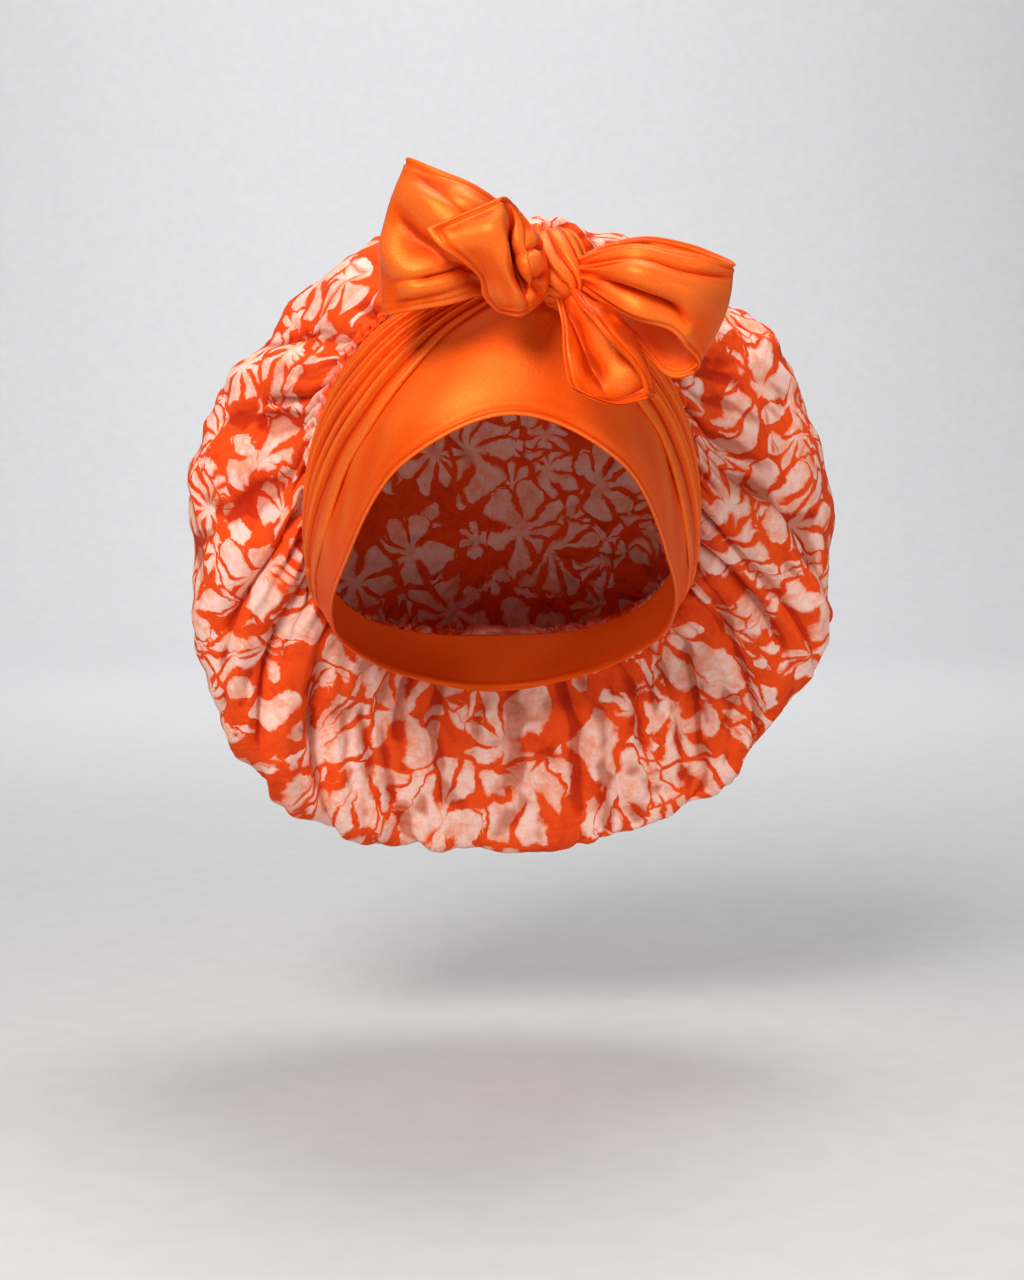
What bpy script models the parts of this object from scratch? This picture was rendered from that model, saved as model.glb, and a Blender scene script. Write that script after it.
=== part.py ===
"""A tied satin hair bonnet: a wide satin band, a satin tie knotted in a bow, and a large gathered batik crown.

Metres, +Z up. The face looks along -Y, and +X is the right side of the picture. The origin is the middle of
the head that the bonnet sits on, between the temples. Angles round the face opening are in degrees as seen
from the front: 0 at +X, 90 at the top of the forehead, 180 at -X and 270 at the nape.
"""

import bmesh
import bpy
import numpy as np

TURN = 360.0

# Cloth
BAND_WALL = 0.0020
CROWN_WALL = 0.0016
BOW_WALL = 0.0016
CLEARANCE = 0.0004

# The band's front edge, or hem, round the face and neck
HEM_COLUMNS = ("turn_from_front", "radius", "height")
HEM = (
    (0, 0.0865, 0.046),
    (30, 0.0895, 0.026),
    (60, 0.0815, -0.020),
    (90, 0.0760, -0.046),
    (120, 0.0760, -0.063),
    (150, 0.0790, -0.078),
    (180, 0.0810, -0.086),
)

# The seam, where the crown is gathered on to the band: a tall arch that the knot pulls up
SEAM_HALF_WIDTH = 0.085
SEAM_MIDDLE_HEIGHT = 0.008
SEAM_RISE = 0.096
SEAM_DROP = 0.068
SEAM_UPPER_POWER = 2.2
SEAM_LOWER_POWER = 3.0
SEAM_DEPTH_COLUMNS = ("angle_from_side", "depth")
SEAM_DEPTH = (
    (-90, 0.094),
    (-60, 0.082),
    (-30, 0.046),
    (0, 0.013),
    (30, -0.007),
    (60, -0.029),
    (90, -0.040),
)
KNOT_LIFT = 0.022
KNOT_LIFT_REACH = 0.0207
KNOT_X = 0.018
BAND_BULGE_FRONT = 0.0085
BAND_BULGE_NAPE = 0.0020
BAND_TURNS = 60
BAND_ROWS = 6

# The crown, as rings round the bag: each at a share of the way from the seam to the back
CROWN_COLUMNS = (
    "share", "half_width", "middle_x", "middle_height", "top", "bottom",
    "depth_at_top", "depth_at_side", "depth_at_bottom", "share_of_knot_lift",
)
CROWN_RINGS = (
    (0.07, 0.101, 0.002, 0.006, 0.1190, -0.076, -0.035, 0.016, 0.101, 0.60),
    (0.16, 0.128, 0.004, 0.000, 0.1310, -0.116, -0.012, 0.023, 0.101, 0.15),
    (0.28, 0.152, 0.007, -0.010, 0.1370, -0.165, 0.026, 0.046, 0.108, 0.0),
    (0.45, 0.145, 0.0065, -0.012, 0.1210, -0.152, 0.080, 0.092, 0.132, 0.0),
    (0.65, 0.104, 0.005, -0.014, 0.0780, -0.104, 0.124, 0.131, 0.149, 0.0),
    (0.82, 0.054, 0.005, -0.016, 0.0320, -0.062, 0.145, 0.148, 0.155, 0.0),
)
CROWN_BACK = (0.005, 0.152, -0.016)
CROWN_LOWER_POWER = 2.4
CROWN_NECK_SHARE = 0.012
CROWN_NECK_LENGTH = 0.003
CROWN_TURNS = 120
CROWN_SHARES = (0.0, 0.03, 0.085, 0.15, 0.215, 0.28, 0.35, 0.42, 0.51, 0.61, 0.73, 0.86)
CROWN_SEAM_GAP = 0.0015

# The crown's folds, each a valley that leaves the seam at one angle and fades at another
FOLD_COLUMNS = ("seam_angle", "rim_angle", "steep_width", "wide_width", "depth", "start", "end")
FOLDS = (
    (118, 104, 5, 9, 0.007, 0.05, 0.40),
    (136, 143, 4, 9, 0.013, 0.03, 0.56),
    (158, 160, 4, 9, 0.008, 0.03, 0.36),
    (172, 184, 4, 11, 0.011, 0.03, 0.38),
    (184, 213, 4, 10, 0.014, 0.03, 0.44),
    (201, 232, 4, 9, 0.014, 0.04, 0.46),
    (222, 250, 4, 8, 0.010, 0.10, 0.46),
    (246, 262, 4, 8, 0.006, 0.14, 0.44),
    (290, 281, 4, 8, 0.006, 0.14, 0.44),
    (316, 296, 4, 9, 0.011, 0.10, 0.46),
    (336, 312, 4, 9, 0.012, 0.04, 0.44),
    (348, 332, 4, 9, 0.011, 0.03, 0.42),
    (14, -12, 4, 10, 0.014, 0.03, 0.42),
    (34, 24, 4, 10, 0.009, 0.03, 0.36),
    (56, 50, 4, 9, 0.009, 0.04, 0.40),
    (76, 74, 4, 9, 0.007, 0.06, 0.40),
)
FOLD_RISE = 0.22

# Fuller places on the crown's rim
PUFF_COLUMNS = ("angle", "width", "height")
PUFFS = (
    (122, 18, 0.005),
    (232, 24, 0.009),
    (20, 30, 0.003),
)
PUFF_SHARE = 0.29
PUFF_REACH = 0.16

# Gathers at the seam
GATHER_COUNT = 30
GATHER_HEIGHT = 0.0030
GATHER_REACH = 0.10

# The pleated ends of the tie, as shares of the band's width from hem to seam
WRAP_COLUMNS = ("turn_from_top", "inner_share", "height")
WRAP_LEFT_ROWS = (
    (-6, 0.72, 0.0050),
    (0, 0.70, 0.0040),
    (12, 0.61, 0.0030),
    (24, 0.43, 0.0034),
    (36, 0.31, 0.0038),
    (48, 0.29, 0.0036),
    (66, 0.24, 0.0030),
    (84, 0.28, 0.0024),
    (102, 0.42, 0.0018),
    (132, 0.66, 0.0014),
)
WRAP_RIGHT_ROWS = (
    (12, 0.68, 0.0050),
    (18, 0.60, 0.0040),
    (30, 0.38, 0.0034),
    (42, 0.35, 0.0038),
    (54, 0.30, 0.0036),
    (66, 0.24, 0.0030),
    (84, 0.28, 0.0024),
    (102, 0.42, 0.0018),
    (132, 0.66, 0.0014),
)
WRAP_OUTER_SHARE = 0.965
WRAP_PLEATS = 4
WRAP_CROSS = 9

# The knot
KNOT_MIDDLE = (0.0200, -0.0715, 0.1070)
KNOT_RADII = (0.0112, 0.0115, 0.0180)
KNOT_TILT = -8.0
KNOT_LEAN = 34.0
KNOT_RIDGES = 5
KNOT_RIDGE_HEIGHT = 0.0010

# The bow's loops: sections of the folded strip from the knot, round the loop's end and back behind
LOOP_COLUMNS = ("top_x", "top_y", "top_z", "low_x", "low_y", "low_z", "belly_x", "belly_y")
LOOP_LEFT = (
    (0.013, -0.075, 0.114, 0.013, -0.076, 0.100, 0.000, 0.000),
    (-0.001, -0.083, 0.129, -0.006, -0.084, 0.096, 0.001, -0.007),
    (-0.015, -0.091, 0.139, -0.020, -0.092, 0.092, 0.001, -0.014),
    (-0.029, -0.090, 0.145, -0.038, -0.093, 0.089, 0.000, -0.012),
    (-0.040, -0.085, 0.150, -0.050, -0.088, 0.087, -0.003, -0.006),
    (-0.043, -0.080, 0.151, -0.054, -0.082, 0.087, -0.005, 0.002),
    (-0.037, -0.074, 0.149, -0.048, -0.076, 0.088, -0.003, 0.007),
    (-0.026, -0.070, 0.144, -0.034, -0.071, 0.092, 0.000, 0.007),
    (-0.013, -0.068, 0.137, -0.018, -0.069, 0.096, 0.000, 0.005),
    (0.000, -0.068, 0.127, -0.003, -0.069, 0.099, 0.000, 0.003),
    (0.013, -0.071, 0.114, 0.013, -0.071, 0.101, 0.000, 0.000),
)
LOOP_RIGHT = (
    (0.027, -0.079, 0.111, 0.027, -0.080, 0.099, 0.000, -0.003),
    (0.038, -0.087, 0.114, 0.037, -0.089, 0.092, 0.000, -0.009),
    (0.051, -0.092, 0.114, 0.051, -0.096, 0.086, 0.000, -0.011),
    (0.067, -0.092, 0.111, 0.064, -0.097, 0.081, 0.001, -0.010),
    (0.083, -0.087, 0.109, 0.070, -0.093, 0.074, 0.002, -0.006),
    (0.092, -0.080, 0.109, 0.075, -0.086, 0.069, 0.003, 0.001),
    (0.086, -0.074, 0.113, 0.072, -0.080, 0.066, 0.002, 0.006),
    (0.074, -0.069, 0.118, 0.065, -0.078, 0.067, 0.000, 0.007),
    (0.057, -0.066, 0.121, 0.056, -0.077, 0.075, 0.000, 0.006),
    (0.041, -0.066, 0.118, 0.041, -0.075, 0.088, 0.000, 0.004),
    (0.027, -0.072, 0.112, 0.027, -0.073, 0.100, 0.000, 0.000),
)
LOOP_ALONG = 24
LOOP_ACROSS = 7

# The tie's two ends: sections from the top down, with named points across each
TAIL_LEFT_COLUMNS = (
    "edge_x", "edge_y", "edge_z", "ridge_x", "ridge_y", "ridge_z",
    "pocket_x", "pocket_y", "pocket_z", "rim_x", "rim_y", "rim_z", "root_x", "root_y", "root_z",
)
TAIL_LEFT = (
    (-0.037, -0.110, 0.120, -0.010, -0.113, 0.131, -0.006, -0.110, 0.133, -0.003, -0.105, 0.132, 0.0030, -0.0940, 0.126),
    (-0.031, -0.113, 0.113, -0.008, -0.118, 0.123, -0.003, -0.104, 0.123, 0.003, -0.103, 0.123, 0.0100, -0.0870, 0.119),
    (-0.022, -0.111, 0.107, -0.005, -0.119, 0.114, -0.001, -0.099, 0.113, 0.006, -0.101, 0.113, 0.0130, -0.0840, 0.113),
    (-0.015, -0.106, 0.101, -0.003, -0.117, 0.104, 0.001, -0.097, 0.104, 0.008, -0.100, 0.105, 0.0140, -0.0845, 0.107),
    (-0.013, -0.100, 0.094, -0.001, -0.113, 0.093, 0.004, -0.108, 0.093, 0.010, -0.100, 0.096, 0.0145, -0.0860, 0.101),
    (-0.007, -0.097, 0.088, 0.000, -0.104, 0.086, 0.004, -0.104, 0.087, 0.009, -0.098, 0.091, 0.0140, -0.0885, 0.096),
)
TAIL_RIGHT_COLUMNS = (
    "edge_x", "edge_y", "edge_z", "panel_x", "panel_y", "panel_z",
    "fold_x", "fold_y", "fold_z", "hem_x", "hem_y", "hem_z",
)
TAIL_RIGHT = (
    (0.0165, -0.080, 0.098, 0.0205, -0.0785, 0.0990, 0.0245, -0.080, 0.1000, 0.0225, -0.0845, 0.0990),
    (0.0180, -0.091, 0.089, 0.0240, -0.0880, 0.0900, 0.0305, -0.091, 0.0920, 0.0265, -0.0965, 0.0905),
    (0.0190, -0.096, 0.082, 0.0275, -0.0920, 0.0830, 0.0380, -0.097, 0.0880, 0.0305, -0.1035, 0.0850),
    (0.0190, -0.100, 0.073, 0.0310, -0.0960, 0.0730, 0.0450, -0.101, 0.0790, 0.0375, -0.1075, 0.0760),
    (0.0200, -0.102, 0.064, 0.0350, -0.0990, 0.0630, 0.0505, -0.102, 0.0690, 0.0460, -0.1075, 0.0675),
    (0.0220, -0.103, 0.058, 0.0380, -0.1010, 0.0550, 0.0535, -0.102, 0.0610, 0.0505, -0.1068, 0.0610),
    (0.0290, -0.104, 0.054, 0.0415, -0.1030, 0.0505, 0.0550, -0.103, 0.0535, 0.0525, -0.1072, 0.0545),
)
TAIL_ALONG = 11
TAIL_ACROSS = 11

# Colours from the photograph: base colour, roughness
SATIN_ORANGE = (0.85, 0.16, 0.012, 1.0)
BATIK_ORANGE = (0.74, 0.075, 0.012, 1.0)
SATIN_ROUGHNESS = 0.36
COTTON_ROUGHNESS = 0.85


def clear_scene():
    """Removes the objects that Blender starts with."""
    for found in list(bpy.data.objects):
        bpy.data.objects.remove(found)


def cloth_material(name, colour, roughness):
    """A plain cloth finish of one colour."""
    material = bpy.data.materials.new(name)
    material.use_nodes = True
    shader = material.node_tree.nodes["Principled BSDF"]
    shader.inputs["Base Color"].default_value = colour
    shader.inputs["Roughness"].default_value = roughness
    shader.inputs["Metallic"].default_value = 0.0
    material.diffuse_color = colour
    return material


def unit(vectors):
    """The same vectors at length one."""
    return vectors / np.maximum(np.linalg.norm(vectors, axis=-1, keepdims=True), 1e-12)


def through(places, rows, wanted):
    """A smooth curve through rows at rising places, read at the wanted places (a cubic Hermite spline)."""
    places, rows = np.asarray(places, float), np.asarray(rows, float)
    wide = (-1,) + (1,) * (rows.ndim - 1)
    spans = np.diff(places).reshape(wide)
    rates = np.diff(rows, axis=0) / spans
    inner = (rates[:-1] * spans[1:] + rates[1:] * spans[:-1]) / (spans[:-1] + spans[1:])
    slopes = np.concatenate([rates[:1], inner, rates[-1:]])
    wanted = np.clip(np.asarray(wanted, float), places[0], places[-1])
    start = np.clip(np.searchsorted(places, wanted, side="right") - 1, 0, len(places) - 2)
    span = spans[start]
    part = (wanted - places[start]).reshape(wide) / span
    return (
        rows[start] * (1 + 2 * part) * (1 - part) ** 2
        + slopes[start] * span * part * (1 - part) ** 2
        + rows[start + 1] * part**2 * (3 - 2 * part)
        - slopes[start + 1] * span * part**2 * (1 - part)
    )


def looked_up(table, keys):
    """A table's remaining columns at any value of its first column, on a smooth curve."""
    table = np.asarray(table, float)
    return through(table[:, 0], table[:, 1:], keys)


def mirrored(table):
    """A table with its second row and its last but one repeated past its ends, for a curve that is level there."""
    table = np.asarray(table, float)
    before, after = table[1].copy(), table[-2].copy()
    before[0], after[0] = 2 * table[0, 0] - before[0], 2 * table[-1, 0] - after[0]
    return np.vstack([before, table, after])


def evenly(rows, shares):
    """A smooth curve through evenly spaced rows, read at shares from 0 to 1."""
    return through(np.linspace(0, 1, len(rows)), rows, shares)


def signed_power(values, power):
    """A power that keeps the sign."""
    return np.sign(values) * np.abs(values) ** power


def hem_points(angles):
    """The band's hem at front-view angles in degrees."""
    turn = 90.0 - np.asarray(angles, float)
    folded = np.abs((turn + 180.0) % TURN - 180.0)
    radius, height = looked_up(mirrored(HEM), folded).T
    around = np.radians(turn)
    return np.stack([radius * np.sin(around), -radius * np.cos(around), height], -1)


def knot_lift(x):
    """How far the knot pulls the seam up, by the place across."""
    return KNOT_LIFT * np.exp(-(((x - KNOT_X) / KNOT_LIFT_REACH) ** 2))


def seam_points(angles):
    """The seam at front-view angles in degrees: an upper and a lower half arch, lifted at the knot."""
    around = np.radians(np.asarray(angles, float))
    across, upward = np.cos(around), np.sin(around)
    is_upper = upward >= 0
    power = np.where(is_upper, SEAM_UPPER_POWER, SEAM_LOWER_POWER)
    reach = np.where(is_upper, SEAM_RISE, SEAM_DROP)
    x = SEAM_HALF_WIDTH * signed_power(across, 2 / power)
    z = SEAM_MIDDLE_HEIGHT + reach * signed_power(upward, 2 / power)
    z = z + np.where(is_upper, knot_lift(x), 0.0)
    from_side = np.degrees(np.arcsin(np.clip(upward, -1, 1)))
    y = looked_up(mirrored(SEAM_DEPTH), from_side)[:, 0]
    return np.stack([x, y, z], -1)


def band_frame(angles):
    """The hem, the seam, the way from one to the other, and the way out of the head, at each angle."""
    hem, seam = hem_points(angles), seam_points(angles)
    step = 0.5
    along = unit(
        hem_points(angles - step) + seam_points(angles - step) - hem_points(angles + step) - seam_points(angles + step)
    )
    rise = unit(seam - hem)
    out = unit(np.cross(along, rise))
    return hem, seam, rise, out


def band_surface(angles, shares):
    """The band's outer face as a grid: rows at shares from hem to seam, columns at the angles."""
    angles, shares = np.asarray(angles, float), np.asarray(shares, float)
    hem, seam, _, out = band_frame(angles)
    frontness = (1 + np.sin(np.radians(angles))) / 2
    bulge = BAND_BULGE_NAPE + (BAND_BULGE_FRONT - BAND_BULGE_NAPE) * frontness
    share = shares[:, None, None]
    arch = 4 * share * (1 - share)
    return hem * (1 - share) + seam * share + out * bulge[None, :, None] * arch


def grid_normals(grid, closed_columns):
    """The unit normals of a grid of points: along its rows crossed with down its columns."""
    across = np.gradient(grid, axis=0)
    if closed_columns:
        along = np.roll(grid, -1, axis=1) - np.roll(grid, 1, axis=1)
    else:
        along = np.gradient(grid, axis=1)
    return unit(np.cross(along, across))


def crown_base(angles, shares):
    """The crown without folds: rings joined by a smooth curve from the seam to the back."""
    around = np.radians(angles)
    across, upward = np.cos(around), np.sin(around)
    _, seam, rise, out = band_frame(angles)
    lift = knot_lift(seam[:, 0]) * (upward > 0)
    first = seam + rise * CROWN_SEAM_GAP
    neck = first + (rise + out * 0.5) * CROWN_NECK_LENGTH
    rings = [first, neck]
    for _, half_width, middle_x, middle_z, top, bottom, deep_top, deep_side, deep_bottom, lifted in CROWN_RINGS:
        power = np.where(upward >= 0, 2.0, CROWN_LOWER_POWER)
        reach = np.where(upward >= 0, top - middle_z, middle_z - bottom)
        far = np.where(upward >= 0, deep_top - deep_side, deep_bottom - deep_side)
        ring = np.stack(
            [
                middle_x + half_width * signed_power(across, 2 / power),
                deep_side + far * upward**2,
                middle_z + reach * signed_power(upward, 2 / power) + lifted * lift,
            ],
            -1,
        )
        rings.append(ring)
    rings.append(np.broadcast_to(np.array(CROWN_BACK), first.shape))
    places = [0.0, CROWN_NECK_SHARE] + [ring[0] for ring in CROWN_RINGS] + [1.0]
    return through(places, np.array(rings), shares)


def fold_depth(angles, shares):
    """How far the folds and puffs move the crown inwards (negative) or outwards, as a grid."""
    angle, share = np.meshgrid(angles, shares)
    total = np.zeros_like(angle)
    for seam_angle, rim_angle, steep, wide, depth, start, end in FOLDS:
        part = np.clip((share - start) / (end - start), 0, 1)
        middle = seam_angle + (rim_angle - seam_angle) * part**0.8
        aside = (angle - middle + 180.0) % TURN - 180.0
        leans = 1.0 if rim_angle >= seam_angle else -1.0
        width = np.where(aside * leans > 0, steep, wide)
        along = np.clip(part / FOLD_RISE, 0, 1) * (1 - part) ** 1.2
        total -= depth * along * np.exp(-((aside / width) ** 2))
    for puff_angle, width, height in PUFFS:
        aside = (angle - puff_angle + 180.0) % TURN - 180.0
        rim = np.exp(-(((share - PUFF_SHARE) / PUFF_REACH) ** 2))
        total += height * rim * np.exp(-((aside / width) ** 2))
    return total


def gather_depth(angles, shares):
    """The small gathers that stand along the seam and fade into the bag: round tops and sharp valleys."""
    angle, share = np.meshgrid(angles, shares)
    ridge = np.abs(np.cos(np.radians(angle) * GATHER_COUNT / 2)) ** 0.8
    return GATHER_HEIGHT * (ridge - 0.5) * np.exp(-share / GATHER_REACH)


def mesh_object(name, points, faces, material, wall=0.0):
    """A named object from points and faces, with faces turned outwards and an optional wall inwards."""
    shape = bmesh.new()
    corners = [shape.verts.new(point) for point in points]
    for face in faces:
        shape.faces.new([corners[index] for index in face])
    shape.normal_update()
    mesh = bpy.data.meshes.new(name)
    shape.to_mesh(mesh)
    shape.free()
    mesh.materials.append(material)
    mesh.shade_smooth()
    made = bpy.data.objects.new(name, mesh)
    bpy.context.scene.collection.objects.link(made)
    if wall:
        solidify = made.modifiers.new("wall", "SOLIDIFY")
        solidify.thickness = wall
        solidify.offset = -1.0
        solidify.use_even_offset = False
        solidify.use_rim = True
    return made


def grid_faces(rows, columns, closed_columns):
    """The four-sided faces of a grid listed row by row, facing along its rows crossed with down its columns."""
    faces = []
    last = columns if closed_columns else columns - 1
    for row in range(rows - 1):
        for column in range(last):
            here, beside = row * columns + column, row * columns + (column + 1) % columns
            faces.append((here, beside, beside + columns, here + columns))
    return faces


def build_band(material):
    """The satin band, a closed loop of cloth."""
    angles = 90.0 - np.arange(BAND_TURNS) * TURN / BAND_TURNS
    grid = band_surface(angles, np.linspace(0, 1, BAND_ROWS))
    faces = grid_faces(BAND_ROWS, BAND_TURNS, True)
    return mesh_object("band", grid.reshape(-1, 3), faces, material, BAND_WALL)


def build_crown(material):
    """The gathered bag, open at the seam and closed at the back."""
    angles = 90.0 - np.arange(CROWN_TURNS) * TURN / CROWN_TURNS
    base = crown_base(angles, CROWN_SHARES)
    normals = grid_normals(base, True)
    height = fold_depth(angles, CROWN_SHARES) + gather_depth(angles, CROWN_SHARES)
    grid = base + normals * height[:, :, None]
    faces = grid_faces(len(CROWN_SHARES), CROWN_TURNS, True)
    points = list(grid.reshape(-1, 3)) + [np.array(CROWN_BACK)]
    pole, start = len(points) - 1, (len(CROWN_SHARES) - 1) * CROWN_TURNS
    for column in range(CROWN_TURNS):
        faces.append((start + column, start + (column + 1) % CROWN_TURNS, pole))
    return mesh_object("crown", points, faces, material, CROWN_WALL)


def build_wrap(name, side, rows, material):
    """A pleated end of the tie on the band, side +1 at the right and -1 at the left, as one closed solid."""
    turns = np.array(rows, float)[:, 0]
    turn = np.arange(turns[0], turns[-1] + 1, TURN / BAND_TURNS)
    angles = 90.0 - side * turn
    inner_share, tallest = looked_up(rows, turn).T
    across = np.linspace(0, 1, WRAP_CROSS)
    outer, under = [], []
    for column in range(len(turn)):
        shares = inner_share[column] + (WRAP_OUTER_SHARE - inner_share[column]) * across
        strip = band_surface(angles[column : column + 1], shares)[:, 0]
        out = band_frame(angles[column : column + 1])[3][0]
        rounded = (4 * across * (1 - across)) ** 0.35
        pleats = 0.5 + 0.5 * np.abs(np.sin(np.pi * WRAP_PLEATS * across)) ** 0.7
        lift = CLEARANCE + BOW_WALL / 2 + tallest[column] * rounded * pleats
        outer.append(strip + out * lift[:, None])
        under.append(strip + out * CLEARANCE)
    rings = [np.concatenate([top, low[::-1]]) for top, low in zip(outer, under)]
    return closed_loft(name, rings, material)


def closed_loft(name, rings, material):
    """A closed solid lofted through rings of equal point count, capped at both ends."""
    count, size = len(rings), len(rings[0])
    points = np.concatenate(rings)
    faces = grid_faces(count, size, True)
    half = size // 2
    for step in range(half - 1):
        first = (step, step + 1, size - 2 - step, size - 1 - step)
        faces.append(first[::-1])
        faces.append(tuple(index + (count - 1) * size for index in first))
    made = mesh_object(name, points, faces, material)
    turn_outwards(made)
    return made


def turn_outwards(made):
    """Turns a closed mesh's faces outwards."""
    shape = bmesh.new()
    shape.from_mesh(made.data)
    bmesh.ops.recalc_face_normals(shape, faces=shape.faces)
    if shape.calc_volume(signed=True) < 0:
        bmesh.ops.reverse_faces(shape, faces=shape.faces)
    shape.to_mesh(made.data)
    shape.free()


def turned(points, degrees, axis):
    """Points turned about one axis through the origin."""
    around = np.radians(degrees)
    first, second = [(1, 2), (2, 0), (0, 1)][axis]
    moved = np.array(points, float)
    moved[..., first] = points[..., first] * np.cos(around) - points[..., second] * np.sin(around)
    moved[..., second] = points[..., first] * np.sin(around) + points[..., second] * np.cos(around)
    return moved


def knot_mesh(name, material, extra=0.0):
    """The wound knot: a rounded barrel with slanting ridges, grown by extra for use as a cutter."""
    rows, columns = 11, 20
    points, faces = [], []
    for row in range(1, rows):
        polar = np.pi * row / rows
        for column in range(columns):
            around = 2 * np.pi * column / columns
            ridge = 1 + KNOT_RIDGE_HEIGHT / KNOT_RADII[0] * np.cos(KNOT_RIDGES * around + 2.2 * polar)
            ball = np.array(
                [
                    signed_power(np.sin(polar), 0.7) * signed_power(np.cos(around), 0.85) * ridge,
                    signed_power(np.sin(polar), 0.7) * signed_power(np.sin(around), 0.85) * ridge,
                    signed_power(np.cos(polar), 0.85),
                ]
            )
            points.append(ball)
    faces = grid_faces(rows - 1, columns, True)
    for pole, row in ((1.0, 0), (-1.0, rows - 2)):
        points.append(np.array([0, 0, pole]))
        for column in range(columns):
            faces.append((len(points) - 1, row * columns + column, row * columns + (column + 1) % columns))
    points = np.array(points) * (np.array(KNOT_RADII) + extra)
    points = turned(turned(points, -KNOT_LEAN, 0), KNOT_TILT, 1) + np.array(KNOT_MIDDLE)
    made = mesh_object(name, points, faces, material)
    turn_outwards(made)
    return made


def build_loop(name, side, sections, material):
    """A bow loop: a strip of cloth carried through its sections, with a belly across its width."""
    table = evenly(sections, np.linspace(0, 1, LOOP_ALONG))
    across = np.linspace(0, 1, LOOP_ACROSS)[:, None, None]
    top, low = table[None, :, 0:3], table[None, :, 3:6]
    belly = np.concatenate([table[:, 6:8], np.zeros((LOOP_ALONG, 1))], -1)[None]
    grid = low * (1 - across) + top * across + belly * 4 * across * (1 - across)
    faces = grid_faces(LOOP_ACROSS, LOOP_ALONG, False)
    if side < 0:
        faces = [face[::-1] for face in faces]
    return mesh_object(name, grid.reshape(-1, 3), faces, material, BOW_WALL)


def build_tail(name, sections, material):
    """An end of the tie: a sheet through named points across each of its sections."""
    rows = evenly(np.array(sections).reshape(len(sections), -1, 3), np.linspace(0, 1, TAIL_ALONG))
    columns = evenly(rows.transpose(1, 0, 2), np.linspace(0, 1, TAIL_ACROSS))
    grid = columns.transpose(1, 0, 2)
    faces = [face[::-1] for face in grid_faces(TAIL_ALONG, TAIL_ACROSS, False)]
    return mesh_object(name, grid.reshape(-1, 3), faces, material, BOW_WALL)


def cut_clear(made, cutter):
    """Cuts a piece back from a cutter that leaves the clearance round its neighbour."""
    boolean = made.modifiers.new("clear_" + cutter.name, "BOOLEAN")
    boolean.operation = "DIFFERENCE"
    boolean.solver = "EXACT"
    boolean.object = cutter
    cutter.hide_render = True
    cutter.display_type = "WIRE"


def main():
    """Builds every piece of the bonnet."""
    clear_scene()
    satin = cloth_material("satin_orange", SATIN_ORANGE, SATIN_ROUGHNESS)
    batik = cloth_material("batik_cotton", BATIK_ORANGE, COTTON_ROUGHNESS)
    build_band(satin)
    build_crown(batik)
    knot_mesh("knot", satin)
    cutter = knot_mesh("knot_clearance", satin, CLEARANCE)
    cut_clear(build_wrap("wrap_left", -1.0, WRAP_LEFT_ROWS, satin), cutter)
    cut_clear(build_wrap("wrap_right", 1.0, WRAP_RIGHT_ROWS, satin), cutter)
    cut_clear(build_loop("loop_left", -1.0, LOOP_LEFT, satin), cutter)
    cut_clear(build_loop("loop_right", 1.0, LOOP_RIGHT, satin), cutter)
    cut_clear(build_tail("tail_left", TAIL_LEFT, satin), cutter)
    cut_clear(build_tail("tail_right", TAIL_RIGHT, satin), cutter)


main()
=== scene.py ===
"""A tied satin hair bonnet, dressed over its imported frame.

Metres, +Z up. The front opening looks along -Y and +X is the right side of the picture. Angles round the
opening are front-view degrees: 0 at +X, 90 at the top, 180 at -X and 270 at the bottom.
A surface is a grid of points, row by row, and its faces look along its rows crossed with down its columns.
"""

import logging
from dataclasses import dataclass
from enum import Enum
from typing import Any, Sequence

import bpy
import numpy as np
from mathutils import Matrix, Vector


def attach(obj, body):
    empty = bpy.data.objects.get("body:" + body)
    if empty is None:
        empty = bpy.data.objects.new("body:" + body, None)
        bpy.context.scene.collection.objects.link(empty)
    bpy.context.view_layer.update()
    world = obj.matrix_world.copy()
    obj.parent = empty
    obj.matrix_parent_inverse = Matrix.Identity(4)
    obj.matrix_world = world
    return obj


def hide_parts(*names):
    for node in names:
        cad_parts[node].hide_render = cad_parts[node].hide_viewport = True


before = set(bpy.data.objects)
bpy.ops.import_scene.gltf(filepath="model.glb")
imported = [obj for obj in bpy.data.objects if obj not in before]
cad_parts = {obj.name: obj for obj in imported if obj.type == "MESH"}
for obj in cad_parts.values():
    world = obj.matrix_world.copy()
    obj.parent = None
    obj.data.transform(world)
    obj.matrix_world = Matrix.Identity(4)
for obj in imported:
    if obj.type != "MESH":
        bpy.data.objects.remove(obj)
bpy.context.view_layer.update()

log = logging.getLogger("bonnet")

TURN = 360.0
Rows = tuple[tuple[float, ...], ...]
Place = tuple[float, float, float]
Colour = tuple[float, ...]


class Side(Enum):
    """The side of the picture that a piece is on."""

    LEFT = -1.0
    RIGHT = 1.0


class Held(Enum):
    """How a sheet of cloth is held in its worn shape."""

    GATHERED = "gathered"
    STRETCHED = "stretched"
    FOLDED = "folded"


# ---------------------------------------------------------------- curves and noise


def unit(vectors: np.ndarray) -> np.ndarray:
    """The same vectors at length one."""
    return vectors / np.maximum(np.linalg.norm(vectors, axis=-1, keepdims=True), 1e-12)


def smooth(values: Any, low: float, high: float) -> np.ndarray:
    """A smooth step from 0 at low to 1 at high: three squares less two cubes of the share of the way."""
    part = np.clip((np.asarray(values, float) - low) / (high - low), 0.0, 1.0)
    return part * part * (3 - 2 * part)


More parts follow.
